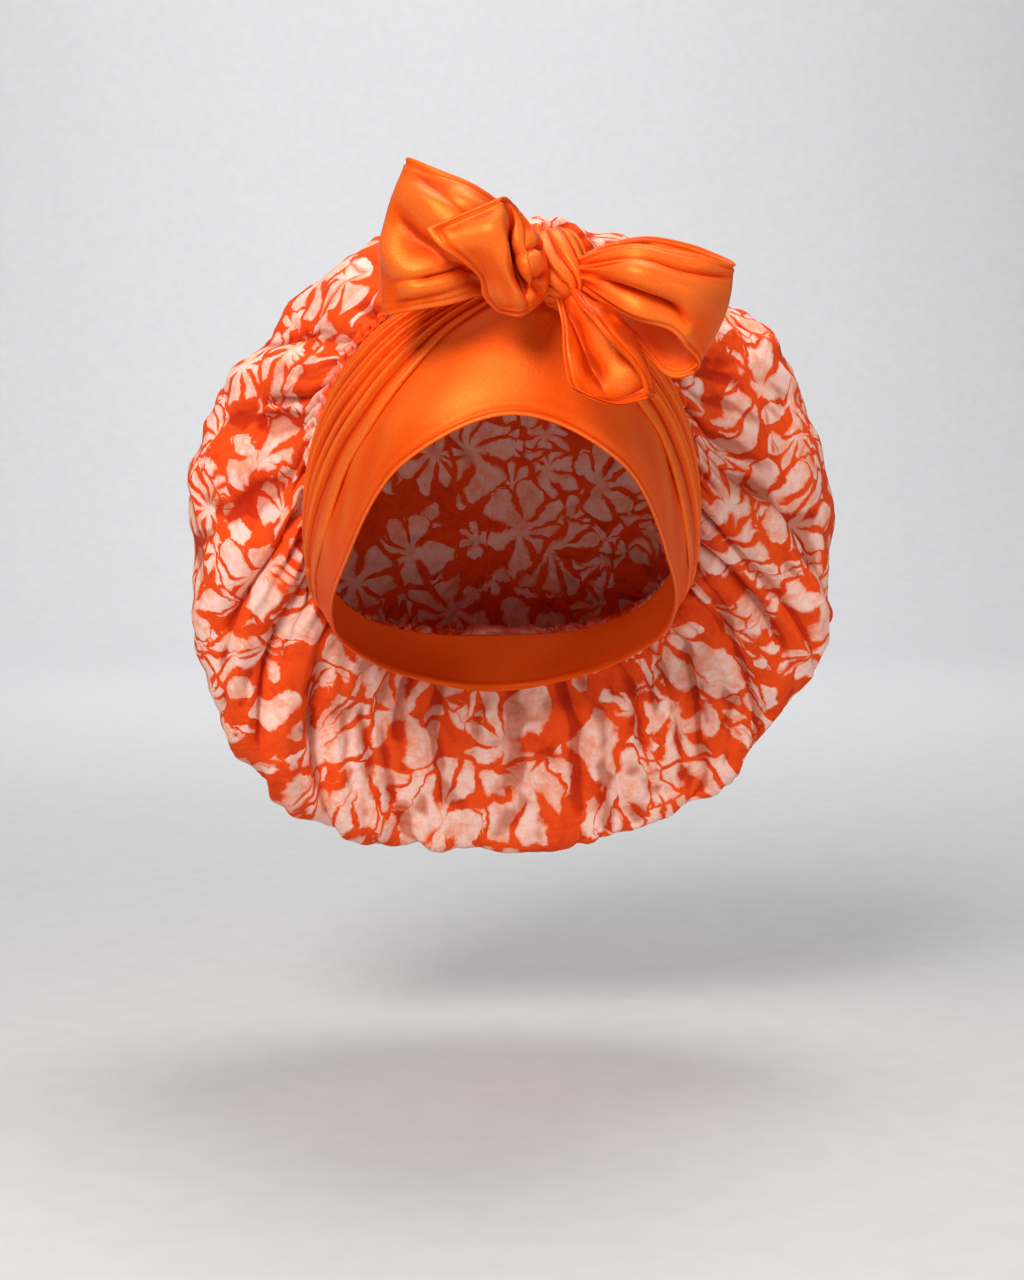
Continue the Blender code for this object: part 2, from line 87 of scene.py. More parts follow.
def bell(values: Any, width: Any, power: float = 2.0) -> np.ndarray:
    """A bump of height 1 at 0: e to the minus (distance over width) to a power. Powers under 2 give a crease."""
    return np.exp(-np.abs(np.asarray(values, float) / width) ** power)


def arch(shares: Any) -> np.ndarray:
    """A parabola that is 0 at shares 0 and 1, and 1 halfway."""
    return 4 * shares * (1 - shares)


def wrapped(degrees: Any) -> np.ndarray:
    """Angles brought to between -180 and 180 degrees."""
    return (np.asarray(degrees, float) + 180.0) % TURN - 180.0


def signed_power(values: np.ndarray, power: Any) -> np.ndarray:
    """A power of the size that keeps the sign."""
    return np.sign(values) * np.abs(values) ** power


def through(places: Any, rows: Any, wanted: Any) -> np.ndarray:
    """A smooth curve through rows at rising places: a cubic Hermite spline with weighted slopes.

    Args:
        places: Where each row stands, rising.
        rows: One value or array for each place.
        wanted: The places to read.

    Returns:
        The curve's values at the wanted places.
    """
    places, rows = np.asarray(places, float), np.asarray(rows, float)
    wide = (-1,) + (1,) * (rows.ndim - 1)
    spans = np.diff(places).reshape(wide)
    rates = np.diff(rows, axis=0) / spans
    inner = (rates[:-1] * spans[1:] + rates[1:] * spans[:-1]) / (spans[:-1] + spans[1:])
    slopes = np.concatenate([rates[:1], inner, rates[-1:]])
    wanted = np.clip(np.asarray(wanted, float), places[0], places[-1])
    start = np.clip(np.searchsorted(places, wanted, side="right") - 1, 0, len(places) - 2)
    span = spans[start]
    part = (wanted - places[start]).reshape(wide) / span
    return (
        rows[start] * (1 + 2 * part) * (1 - part) ** 2
        + slopes[start] * span * part * (1 - part) ** 2
        + rows[start + 1] * part**2 * (3 - 2 * part)
        - slopes[start + 1] * span * part**2 * (1 - part)
    )


def looked_up(table: Any, keys: Any) -> np.ndarray:
    """A table's remaining columns at any value of its first column, on a smooth curve."""
    table = np.asarray(table, float)
    return through(table[:, 0], table[:, 1:], keys)


def mirrored(table: Any) -> np.ndarray:
    """A table with its second row and its last but one repeated past its ends, for a curve that is level there."""
    table = np.asarray(table, float)
    before, after = table[1].copy(), table[-2].copy()
    before[0], after[0] = 2 * table[0, 0] - before[0], 2 * table[-1, 0] - after[0]
    return np.vstack([before, table, after])


def evenly(rows: Any, shares: Any) -> np.ndarray:
    """A smooth curve through evenly spaced rows, read at shares from 0 to 1."""
    return through(np.linspace(0, 1, len(rows)), rows, shares)


def ripples(points: np.ndarray, size: float, seed: int, count: int = 14) -> np.ndarray:
    """Smooth noise of about -1 to 1: the mean of plane waves with random ways, lengths and phases.

    Args:
        points: Places, with their coordinates along the last axis, in metres.
        size: The mean wave length.
        seed: The seed of the random numbers.
        count: How many waves are added.

    Returns:
        One value for each place.
    """
    draw = np.random.default_rng(seed)
    ways = unit(draw.normal(size=(count, points.shape[-1])))
    lengths = size * draw.uniform(0.6, 1.7, count)
    phases = draw.uniform(0, 2 * np.pi, count)
    turns = np.tensordot(points, (ways / lengths[:, None]).T, axes=1) * 2 * np.pi + phases
    return np.cos(turns).sum(-1) * np.sqrt(2.0 / count) * 0.6


def normals_of(grid: np.ndarray, closed: bool) -> np.ndarray:
    """The unit normals of a grid of points, along its rows crossed with down its columns."""
    down = np.gradient(grid, axis=0)
    along = np.roll(grid, -1, axis=1) - np.roll(grid, 1, axis=1) if closed else np.gradient(grid, axis=1)
    return unit(np.cross(along, down))


def lengths_of(grid: np.ndarray, axis: int) -> np.ndarray:
    """How far each row or column of a grid is from the first, in metres, as the mean over the other axis."""
    steps = np.linalg.norm(np.diff(grid, axis=axis), axis=-1).mean(axis=1 - axis)
    return np.concatenate([[0.0], np.cumsum(steps)])


def ridges_of(grid: np.ndarray, closed: bool, reaches: tuple[float, float], gains: tuple[float, float]) -> np.ndarray:
    """How far each place is on a ridge, from 0 in a valley to 1 on a crest, with 0.5 on level cloth: the mask by which
    the finishes paint shade into the valleys and, on the satin, a highlight on to the crests.

    At each of two reaches, the height of a point over the mean of its four neighbours at that reach, measured
    along the normal and divided by the reach, is weighted by its gain and added to 0.5.

    Args:
        grid: The points.
        closed: Whether each row closes on itself.
        reaches: How far away the neighbours are, in metres.
        gains: The weight at each reach.

    Returns:
        One value for each point.
    """
    normals = normals_of(grid, closed)
    down = max(lengths_of(grid, 0)[-1] / (grid.shape[0] - 1), 1e-6)
    along = max(lengths_of(grid, 1)[-1] / (grid.shape[1] - 1), 1e-6)
    total = np.full(grid.shape[:2], 0.5)
    for reach, gain in zip(reaches, gains):
        rows, columns = max(int(round(reach / down)), 1), max(int(round(reach / along)), 1)
        tall = np.pad(grid, ((rows, rows), (0, 0), (0, 0)), mode="reflect", reflect_type="odd")
        ends = {"mode": "wrap"} if closed else {"mode": "reflect", "reflect_type": "odd"}
        wide = np.pad(grid, ((0, 0), (columns, columns), (0, 0)), **ends)
        mean = (tall[: -2 * rows] + tall[2 * rows :] + wide[:, : -2 * columns] + wide[:, 2 * columns :]) / 4
        total += gain * ((grid - mean) * normals).sum(-1) / reach
    return np.clip(total, 0.0, 1.0)


def turned(points: np.ndarray, degrees: float, axis: int) -> np.ndarray:
    """Points turned about one axis through the origin."""
    around = np.radians(degrees)
    first, second = [(1, 2), (2, 0), (0, 1)][axis]
    moved = np.array(points, float)
    moved[..., first] = points[..., first] * np.cos(around) - points[..., second] * np.sin(around)
    moved[..., second] = points[..., first] * np.sin(around) + points[..., second] * np.cos(around)
    return moved


# ---------------------------------------------------------------- meshes


def grid_corners(rows: int, columns: int, closed: bool) -> tuple[np.ndarray, np.ndarray]:
    """The corners of a grid's four-sided faces.

    Args:
        rows: How many rows of points the grid has.
        columns: How many points a row has.
        closed: Whether each row closes on itself.

    Returns:
        The points' indices and, for the pattern, indices that count one more column where a row closes.
    """
    last = columns if closed else columns - 1
    row, column = np.mgrid[0 : rows - 1, 0:last]
    row, column = row.ravel(), column.ravel()

    def corners(size: int, after: np.ndarray) -> np.ndarray:
        """The four corners of each face, in rows of that size, with each column's next one."""
        here, below = row * size, (row + 1) * size
        return np.stack([here + column, here + after, below + after, below + column], -1)

    return corners(columns, (column + 1) % columns), corners(columns + int(closed), column + 1)


def mesh_from(
    name: str, points: np.ndarray, faces: Sequence[np.ndarray], flat: Sequence[np.ndarray],
    material: bpy.types.Material, layers: dict[str, np.ndarray] | None = None,
) -> bpy.types.Object:
    """A smooth-shaded object at the origin with the cloth's flat coordinates in metres as its UV map.

    Args:
        name: The piece's name.
        points: Points, in metres.
        faces: Arrays of faces, each with one number of corners.
        flat: For each array of faces, its corners' places on the flat cloth.
        material: The piece's finish.
        layers: A number or a vector for each point, kept as an attribute of that name.

    Returns:
        The object, linked to the scene.
    """
    mesh = bpy.data.meshes.new(name)
    sizes = np.concatenate([np.full(len(group), group.shape[1]) for group in faces])
    corners = np.concatenate([group.ravel() for group in faces])
    mesh.vertices.add(len(points))
    mesh.vertices.foreach_set("co", np.asarray(points, np.float32).ravel())
    mesh.loops.add(len(corners))
    mesh.loops.foreach_set("vertex_index", corners.astype(np.int32))
    mesh.polygons.add(len(sizes))
    mesh.polygons.foreach_set("loop_start", np.concatenate([[0], np.cumsum(sizes)[:-1]]).astype(np.int32))
    mesh.update(calc_edges=True)
    flat_places = np.concatenate([group.reshape(-1, 2) for group in flat]).astype(np.float32)
    mesh.uv_layers.new(name="flat").data.foreach_set("uv", flat_places.ravel())
    for layer, values in (layers or {}).items():
        kind, key = ("FLOAT_VECTOR", "vector") if values.ndim > 1 else ("FLOAT", "value")
        mesh.attributes.new(layer, kind, "POINT").data.foreach_set(key, values.astype(np.float32).ravel())
    mesh.validate()
    mesh.shade_smooth()
    mesh.materials.append(material)
    return linked(name, mesh)


def linked(name: str, data: bpy.types.ID) -> bpy.types.Object:
    """An object with that mesh, light or camera, in the scene."""
    made = bpy.data.objects.new(name, data)
    bpy.context.scene.collection.objects.link(made)
    return made


def cloth_from(
    name: str, grid: np.ndarray, material: bpy.types.Material, wall: float, closed: bool = False,
) -> bpy.types.Object:
    """A grid of points as a sheet of cloth, with its thickness on the side away from its normals."""
    rows, columns = grid.shape[:2]
    faces, marks = grid_corners(rows, columns, closed)
    open_grid = np.concatenate([grid, grid[:, :1]], axis=1) if closed else grid
    across, down = np.meshgrid(lengths_of(open_grid, 1), lengths_of(open_grid, 0))
    flat = np.stack([across, down], -1).reshape(-1, 2)
    # The ridge attribute is the mask of the satin's painted shade in the valleys and painted highlight on the crests.
    ridges = ridges_of(grid, closed, (0.0022, 0.0065), (1.3, 1.5)).ravel()
    made = mesh_from(name, grid.reshape(-1, 3), [faces], [flat[marks]], material, {"ridge": ridges})
    thicken(made, wall)
    return made


def thicken(made: bpy.types.Object, wall: float) -> None:
    """Gives a sheet its thickness, inwards from its outer face."""
    solidify = made.modifiers.new("cloth thickness", "SOLIDIFY")
    solidify.thickness, solidify.offset = wall, -1.0
    solidify.use_even_offset, solidify.use_rim = False, True


def placed(made: bpy.types.Object, node: str | None) -> bpy.types.Object:
    """Lets a piece ride on the part, in the place of a node of the frame if it has one.

    Args:
        made: The piece.
        node: The node that it is shown instead of, or None for a piece that the frame hasn't got.

    Returns:
        The same piece.
    """
    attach(made, "root")
    if node is not None:
        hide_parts(node)
    return made


def satin_sheet(
    name: str, node: str | None, grid: np.ndarray, material: bpy.types.Material, wall: float,
    closed: bool = False,
) -> bpy.types.Object:
    """A finished piece of satin from a grid of points, whose flat size is measured along and down the grid.

    Args:
        name: The piece's name.
        node: The node that it is shown instead of, or None.
        grid: The points of its outer face.
        material: The satin.
        wall: Its thickness, in metres.
        closed: Whether each row closes on itself.

    Returns:
        The piece.
    """
    made = placed(cloth_from(name, grid, material, wall, closed), node)
    return made


# ---------------------------------------------------------------- finishes


class Value:
    """An output of a node. Its sums, differences, products and quotients are nodes too."""

    def __init__(self, book: "NodeBook", socket: bpy.types.NodeSocket, is_vector: bool = False) -> None:
        """Keeps the output and whether it counts as a vector."""
        self.book, self.socket, self.is_vector = book, socket, is_vector

    def __add__(self, other: Any) -> "Value":
        """This value plus another."""
        return self.book.work("ADD", self, other)

    def __sub__(self, other: Any) -> "Value":
        """This value less another."""
        return self.book.work("SUBTRACT", self, other)

    def __rsub__(self, other: float) -> "Value":
        """A number less this value."""
        return self.book.work("SUBTRACT", other, self)

    def __mul__(self, other: Any) -> "Value":
        """This value times another."""
        return self.book.work("MULTIPLY", self, other)

    def __truediv__(self, other: Any) -> "Value":
        """This value divided by another."""
        return self.book.work("DIVIDE", self, other)


class NodeBook:
    """A short way to write a material's nodes, with a Principled shader at its end."""

    def __init__(self, name: str) -> None:
        """Makes an empty material of that name."""
        self.material = bpy.data.materials.new(name)
        self.material.use_nodes = True
        self.tree = self.material.node_tree
        self.shader = self.tree.nodes["Principled BSDF"]

    def add(self, kind: str, inputs: dict[Any, Any] | None = None, **settings: Any) -> bpy.types.Node:
        """Adds a node.

        Args:
            kind: The node's type name without its ShaderNode start.
            inputs: A constant or a value for each input, by name or number.
            **settings: The node's own options.

        Returns:
            The node.
        """
        node = self.tree.nodes.new("ShaderNode" + kind)
        for key, setting in settings.items():
            setattr(node, key, setting)
        for key, value in (inputs or {}).items():
            self.feed(node.inputs[key], value)
        return node

    def feed(self, socket: bpy.types.NodeSocket, value: Any) -> None:
        """Sets an input to a constant, or links a value to it."""
        if isinstance(value, Value):
            self.tree.links.new(value.socket, socket)
        else:
            socket.default_value = value

    def finish(self, **inputs: Any) -> bpy.types.Material:
        """Feeds the shader's inputs, whose names have _ for a space, and gives the material."""
        for key, value in inputs.items():
            self.feed(self.shader.inputs[key.replace("_", " ")], value)
        return self.material

    def read(self, node: bpy.types.Node, output: Any = 0, is_vector: bool = False) -> Value:
        """One output of a node, by name or number."""
        return Value(self, node.outputs[output], is_vector)

    def work(self, operation: str, *values: Any) -> Value:
        """A sum, a root or another operation, on vectors where the first value is one and else on numbers."""
        is_vector = getattr(values[0], "is_vector", False)
        kind = "VectorMath" if is_vector else "Math"
        return self.read(self.add(kind, dict(enumerate(values)), operation=operation), 0, is_vector)

    def dot(self, first: Value, second: Value) -> Value:
        """The scalar product of two vectors."""
        return self.read(self.add("VectorMath", {0: first, 1: second}, operation="DOT_PRODUCT"), "Value")

    def unit(self, vector: Value) -> Value:
        """The same vector at length one."""
        return self.work("NORMALIZE", vector)

    def cross(self, first: Value, second: Any) -> Value:
        """The vector square to two others."""
        return self.work("CROSS_PRODUCT", first, second)

    def ramp(self, value: Any, low: float, high: float, start: float = 0.0, end: float = 1.0) -> Value:
        """A smooth step from start to end as the value goes from low to high."""
        inputs = {"Value": value, "From Min": low, "From Max": high, "To Min": start, "To Max": end}
        return self.read(self.add("MapRange", inputs, interpolation_type="SMOOTHSTEP"), "Result")

    def mix(self, share: Any, first: Any, second: Any, way: str = "MIX") -> Value:
        """Two colours mixed by a share of the second, or blended another way."""
        return self.read(self.add("Mix", {0: share, 6: first, 7: second}, data_type="RGBA", blend_type=way), 2)

    def noise(self, place: Value, scale: float, detail: float = 2.0, roughness: float = 0.5) -> Value:
        """Noise between 0 and 1 at that place, at so many waves to the metre."""
        inputs = {"Vector": place, "Scale": scale, "Detail": detail, "Roughness": roughness}
        return self.read(self.add("TexNoise", inputs), "Fac")

    def wander(self, place: Value, scale: float, detail: float, reach: float) -> Value:
        """A small random move at each place: noise of that scale, between minus and plus half the reach."""
        colour = self.add("TexNoise", {"Vector": place, "Scale": scale, "Detail": detail, "Roughness": 0.5})
        return (self.read(colour, "Color", True) - (0.5, 0.5, 0.5)) * (reach, reach, reach)

    def cells(self, place: Value, scale: float, feature: str, randomness: float = 1.0) -> bpy.types.Node:
        """Solid Voronoi cells, read by one of their features."""
        inputs = {"Vector": place, "Scale": scale, "Randomness": randomness}
        return self.add("TexVoronoi", inputs, voronoi_dimensions="3D", feature=feature)

    def parts(self, colour: bpy.types.NodeSocket) -> tuple[Value, Value, Value]:
        """A colour's red, green and blue as three numbers."""
        node = self.add("SeparateColor", {0: Value(self, colour)})
        return self.read(node, 0), self.read(node, 1), self.read(node, 2)

    def threads(self, place: Value, width: float, way: str, distortion: float, detail: float = 2.0) -> Value:
        """Waves like threads of that width, in metres, across one direction."""
        inputs = {"Vector": place, "Scale": 1 / (np.pi * width), "Distortion": distortion, "Detail": detail}
        return self.read(self.add("TexWave", inputs, bands_direction=way), "Fac")

    def layer(self, name: str, output: str = "Fac") -> Value:
        """A number or a vector that the mesh keeps for each point."""
        return self.read(self.add("Attribute", attribute_name=name), output, output == "Vector")

    def flat(self) -> Value:
        """The place on the flat cloth, in metres."""
        return self.read(self.add("UVMap", uv_map="flat"), "UV", True)

    def bump(self, height: Value, strength: float, distance: float, normal: Value | None = None) -> Value:
        """A bumped normal from a height between 0 and 1, over another bump if one is given."""
        inputs = {"Height": height, "Strength": strength, "Distance": distance}
        return self.read(self.add("Bump", inputs if normal is None else {**inputs, "Normal": normal}), "Normal")


@dataclass(frozen=True)
class Satin:
    """A smooth orange satin: a soft broad gloss over a very fine weave."""

    name: str = "orange satin"
    # light is a painted highlight for the crests and valley a painted shade for the valleys; valley is also the colour
    # of the dark speckles.
    light: Colour = (0.92, 0.150, 0.016, 1.0)
    middle: Colour = (0.86, 0.080, 0.002, 1.0)
    valley: Colour = (0.54, 0.033, 0.001, 1.0)
    gloss_tint: Colour = (1.0, 0.52, 0.17, 1.0)
    gloss: float = 0.50
    metallic: float = 0.22
    roughness: float = 0.40
    thread: float = 0.00034
    speckles: float = 1400.0
    speckle_share: float = 0.32

    def material(self) -> bpy.types.Material:
        """The satin as a material: tones by valley and crest as painted shade in the valleys and painted highlight on
        the crests, dark speckles, and thread and grain as bump.

        Returns:
            The material.
        """
        book = NodeBook(self.name)
        place = book.flat()
        slow = book.noise(place, 38.0, 3.0)
        grain = book.noise(place, 0.6 / self.thread, 2.0, 0.6)
        shade = slow * 0.7 + grain * 0.3
        # Painted shade and highlight: by the ridge attribute, with a little noise, valleys go to the valley colour and
        # crests to the light colour.
        crest = book.layer("ridge") + (shade * 0.16 - 0.08)
        low = book.mix(book.ramp(crest, 0.08, 0.46), self.valley, self.middle)
        colour = book.mix(book.ramp(crest, 0.46, 0.80), low, self.light)
        speckle = book.noise(place, self.speckles, 2.0, 0.7)
        colour = book.mix(book.ramp(speckle, 0.34, 0.54, self.speckle_share, 0.0), colour, self.valley)
        weave = book.bump(book.threads(place, self.thread, "DIAGONAL", 1.2, 1.0), 0.10, 0.00008)
        speckled = book.bump(speckle, 0.30, 0.00038, weave)
        book.material.diffuse_color = self.light
        return book.finish(
            Base_Color=colour, Roughness=grain * 0.26 + (self.roughness - 0.12), Metallic=self.metallic,
            Normal=book.bump(grain, 0.32, 0.00022, speckled), Specular_IOR_Level=self.gloss,
            Specular_Tint=self.gloss_tint,
        )


@dataclass(frozen=True)
class Batik:
    """A matt cotton with wax-resist petals: pale clusters of rounded petals on an orange-red ground.

    The sizes of the petals are shares of the mean distance between clusters: a least one, and how much more some
    petals have by chance.
    """

    name: str = "batik cotton"
    ground: Colour = (0.86, 0.074, 0.006, 1.0)
    deep_ground: Colour = (0.72, 0.044, 0.003, 1.0)
    shadow: Colour = (0.64, 0.38, 0.30, 1.0)
    petal: Colour = (0.95, 0.61, 0.51, 1.0)
    blush: Colour = (0.92, 0.38, 0.25, 1.0)
    rim: Colour = (0.88, 0.26, 0.13, 1.0)
    spacing: float = 0.043
    small_spacing: float = 0.024
    clearance: float = 0.0021
    half_width: tuple[float, float] = (0.112, 0.060)
    length: tuple[float, float] = (0.40, 0.25)
    tip: float = 0.13
    gap_inside: float = -0.030
    gap_outside: float = 0.026
    gap_more: float = 0.024
    missing: float = 0.10
    cell_margin: float = 0.030
    middle: Place = (0.006, 0.034, -0.012)
    roundness: Place = (42.0, 64.0, 42.0)
    front: float = 2.8
    across_way: Place = (0.31, 1.0, 0.17)
    edge: float = 0.00035
    thread: float = 0.00045
    gloss: float = 0.16
    roughness: float = 0.85

    def petals(self, book: NodeBook, place: Value, spacing: float, few: float, seed: float) -> Value:
        """The petals of one layer as a depth inside their outline, in metres.

        Each cell of a solid Voronoi pattern holds one cluster, spread flat against the bag: the cell's middle
        gives the way out from the bag, steeper in front than behind, and two ways square to it. The turn about
        the middle, times the number of petals, gives a wedge for each petal. Across the wedge a petal is as wide
        as the wedge less a gap that closes towards the middle, and its end is a rounded one at the petal's own
        length. The depth is the half width there less the distance from the wedge's middle line, and never more
        than the distance to the cell's edge.

        Args:
            book: The material's nodes.
            place: The place on the cloth.
            spacing: The mean distance between clusters.
            few: The least number of petals; there are up to three more.
            seed: Moves the layer, so that two layers differ.

        Returns:
            The depth, negative outside the petals.
        """
        shift = (seed, seed * 0.7, seed * 0.4)
        moved = place + shift
        cell = book.cells(moved, 1.0 / spacing, "F1", 0.95)
        border = book.read(book.cells(moved, 1.0 / spacing, "DISTANCE_TO_EDGE", 0.95), "Distance")
        heart = book.read(cell, "Position", True)
        away = moved - heart
        home = heart - tuple(a + b for a, b in zip(shift, self.middle))
        steep = (self.roundness[0], self.roundness[1] * self.front, self.roundness[2])
        out = book.unit(book.work("MINIMUM", home * self.roundness, home * steep))
        right = book.unit(book.cross(out, self.across_way))
        x, y = book.dot(away, right), book.dot(away, book.cross(out, right))
        chance = book.parts(cell.outputs["Color"])
        radius = book.work("SQRT", x * x + y * y)
        count = book.work("ROUND", chance[1] * 3.0 + few)

        turn = book.work("ARCTAN2", y, x) * (0.5 / np.pi) + chance[0]
        uneven = book.work("SINE", (turn + chance[1]) * (2 * np.pi))
        wedge = turn * count + uneven * 0.42
        number = book.work("FLOORED_MODULO", book.work("FLOOR", wedge), count)
        across = book.work("ABSOLUTE", book.work("FRACT", wedge) * 2.0 - 1.0)
        key = book.read(book.add("CombineXYZ", {0: number, 1: chance[2] * 57.0}))
        own = book.parts(book.add("TexWhiteNoise", {"Vector": key}, noise_dimensions="2D").outputs["Color"])

        half = radius * np.pi / count
        inside, outside = spacing * self.gap_inside, spacing * self.gap_outside
        gap = book.ramp(radius, spacing * 0.03, spacing * 0.24, inside, outside) + own[1] * (spacing * self.gap_more)
        widest = own[0] * (spacing * self.half_width[1]) + spacing * self.half_width[0]
        width = book.work("MINIMUM", half - gap, widest)
        end = own[0] * (spacing * self.length[1]) + spacing * self.length[0]
        past = (radius - (end - spacing * self.tip)) / (spacing * self.tip)
        full = 1.0 - book.work("POWER", book.work("MAXIMUM", past, 0.0), 2.8)
        rounded = book.work("POWER", book.work("MAXIMUM", full, 0.0), 0.5)
        there = rounded * book.work("GREATER_THAN", own[2], self.missing)
        depth = there * (width + 0.002) - 0.002 - across * half
        return book.work("MINIMUM", depth, border * spacing - spacing * self.cell_margin)

    def material(self) -> bpy.types.Material:
        """The batik as a material: petals by the place on the bag, and threads by the place on the flat cloth.

        Returns:
            The material.
        """
        book = NodeBook(self.name)
        cloth = book.layer("cloth", "Vector")
        place = cloth + book.wander(cloth, 50.0, 1.0, 0.013) + book.wander(cloth, 230.0, 2.0, 0.0034)
        large = self.petals(book, place, self.spacing, 5.0, 0.31)
        small = self.petals(book, place, self.small_spacing, 3.0, 1.73)
        clear = large * -1.0 - self.clearance
        depth = book.work("MAXIMUM", large, book.work("MINIMUM", small, clear))

        soft = book.noise(cloth, 75.0, 4.0, 0.6)
        fine = book.noise(cloth, 340.0, 3.0, 0.65)
        mottle = soft * 0.6 + fine * 0.4
        pale = book.mix(book.ramp(mottle, 0.42, 0.62), self.petal, self.blush)
        bled = book.mix(book.ramp(depth, 0.0, 0.0011, 0.75, 0.0), pale, self.rim)
        cracks = book.read(book.cells(place, 95.0, "DISTANCE_TO_EDGE"), "Distance")
        crack = book.ramp(cracks, 0.0, 0.045, 1.0, 0.0) * book.ramp(soft, 0.50, 0.60, 0.0, 0.55)
        petal = book.mix(crack, bled, self.rim)
        ground = book.mix(book.ramp(mottle, 0.30, 0.56), self.deep_ground, self.ground)
        colour = book.mix(book.ramp(depth, -self.edge, self.edge), ground, petal)
        seam = book.layer("near") * book.ramp(soft, 0.40, 0.56, 0.85, 0.05)
        colour = book.mix(seam, colour, self.ground)
        crest = book.layer("ridge") + (fine * 0.24 - 0.12)
        colour = book.mix(book.ramp(crest, 0.10, 0.52, 1.0, 0.0), colour, self.shadow, "MULTIPLY")

        flat = book.flat()
        warp, weft = (book.threads(flat, self.thread, way, 0.8) for way in "XY")
        weave = book.bump(book.work("MAXIMUM", warp, weft), 0.25, 0.00010)
        crinkle = book.bump(book.noise(cloth, 130.0, 3.0, 0.62), 0.45, 0.0022, weave)
        book.material.diffuse_color = self.ground
        return book.finish(
            Base_Color=colour, Roughness=fine * 0.1 + (self.roughness - 0.05), Specular_IOR_Level=self.gloss,
            Normal=book.bump(fine, 0.35, 0.0006, crinkle),
        )


# ---------------------------------------------------------------- the band's opening


@dataclass
class Opening:
    """The front opening that every piece is laid on: its hem, and the seam that takes the crown."""

    # turn from the front in degrees, radius, height
    hem_rows: Rows = (
        (0, 0.0865, 0.046), (30, 0.0895, 0.026), (60, 0.0815, -0.020), (90, 0.0760, -0.046),
        (120, 0.0760, -0.063), (150, 0.0790, -0.078), (180, 0.0810, -0.086),
    )
    seam_half_width: float = 0.085
    seam_middle_height: float = 0.008
    seam_rise: float = 0.096
    seam_drop: float = 0.068
    seam_powers: tuple[float, float] = (2.2, 3.0)
    # degrees above the side, depth
    seam_depth: Rows = ((-90, 0.094), (-60, 0.082), (-30, 0.046), (0, 0.013), (30, -0.007), (60, -0.029), (90, -0.040))
    knot_lift: float = 0.022
    knot_lift_reach: float = 0.0207
    knot_x: float = 0.018
    bulge_front: float = 0.0085
    bulge_nape: float = 0.0020

    def hem(self, angles: np.ndarray) -> np.ndarray:
        """The band's hem: a radius and a height looked up by the turn from the front."""
        turn = 90.0 - np.asarray(angles, float)
        found = looked_up(mirrored(self.hem_rows), np.abs(wrapped(turn)).ravel())
        radius, height = found.T.reshape(2, *turn.shape)
        around = np.radians(turn)
        return np.stack([radius * np.sin(around), -radius * np.cos(around), height], -1)

    def lift(self, across: np.ndarray) -> np.ndarray:
        """How far the knot pulls the seam up: a bell about the knot's place across."""
        return self.knot_lift * bell(across - self.knot_x, self.knot_lift_reach)

    def seam(self, angles: np.ndarray) -> np.ndarray:
        """The seam: an upper and a lower half superellipse, lifted at the knot, with its depth looked up."""
        around = np.radians(np.asarray(angles, float))
        across, upward = np.cos(around), np.sin(around)
        power = np.where(upward >= 0, *self.seam_powers)
        reach = np.where(upward >= 0, self.seam_rise, self.seam_drop)
        x = self.seam_half_width * signed_power(across, 2 / power)
        z = self.seam_middle_height + reach * signed_power(upward, 2 / power)
        z = z + np.where(upward >= 0, self.lift(x), 0.0)
        from_side = np.degrees(np.arcsin(np.clip(upward, -1, 1)))
        y = looked_up(mirrored(self.seam_depth), from_side.ravel())[:, 0].reshape(from_side.shape)
        return np.stack([x, y, z], -1)

    def frame(self, angles: np.ndarray) -> tuple[np.ndarray, np.ndarray, np.ndarray, np.ndarray]:
        """The hem, the seam, the way from one to the other and the way outwards, at each angle."""
        hem, seam = self.hem(angles), self.seam(angles)
        before, after = angles - 0.5, angles + 0.5
        along = unit(self.hem(before) + self.seam(before) - self.hem(after) - self.seam(after))
        rise = unit(seam - hem)
        return hem, seam, rise, unit(np.cross(along, rise))

    def surface(self, angles: np.ndarray, shares: np.ndarray) -> tuple[np.ndarray, np.ndarray]:
        """The band's outer face: hem to seam in a straight line, plus a low arch outwards.

        Args:
            angles: Front-view angles of the columns.
            shares: Shares of the way from hem to seam, one row each, or a grid with one for each column.

        Returns:
            The grid of points, and the way out at each column.
        """
        angles = np.asarray(angles, float)
        share = (shares if shares.ndim == 2 else np.repeat(shares[:, None], len(angles), 1))[:, :, None]
        hem, seam, _, out = self.frame(angles)
        frontness = (1 + np.sin(np.radians(angles))) / 2
        bulge = self.bulge_nape + (self.bulge_front - self.bulge_nape) * frontness
        return hem * (1 - share) + seam * share + out * bulge[None, :, None] * arch(share), out


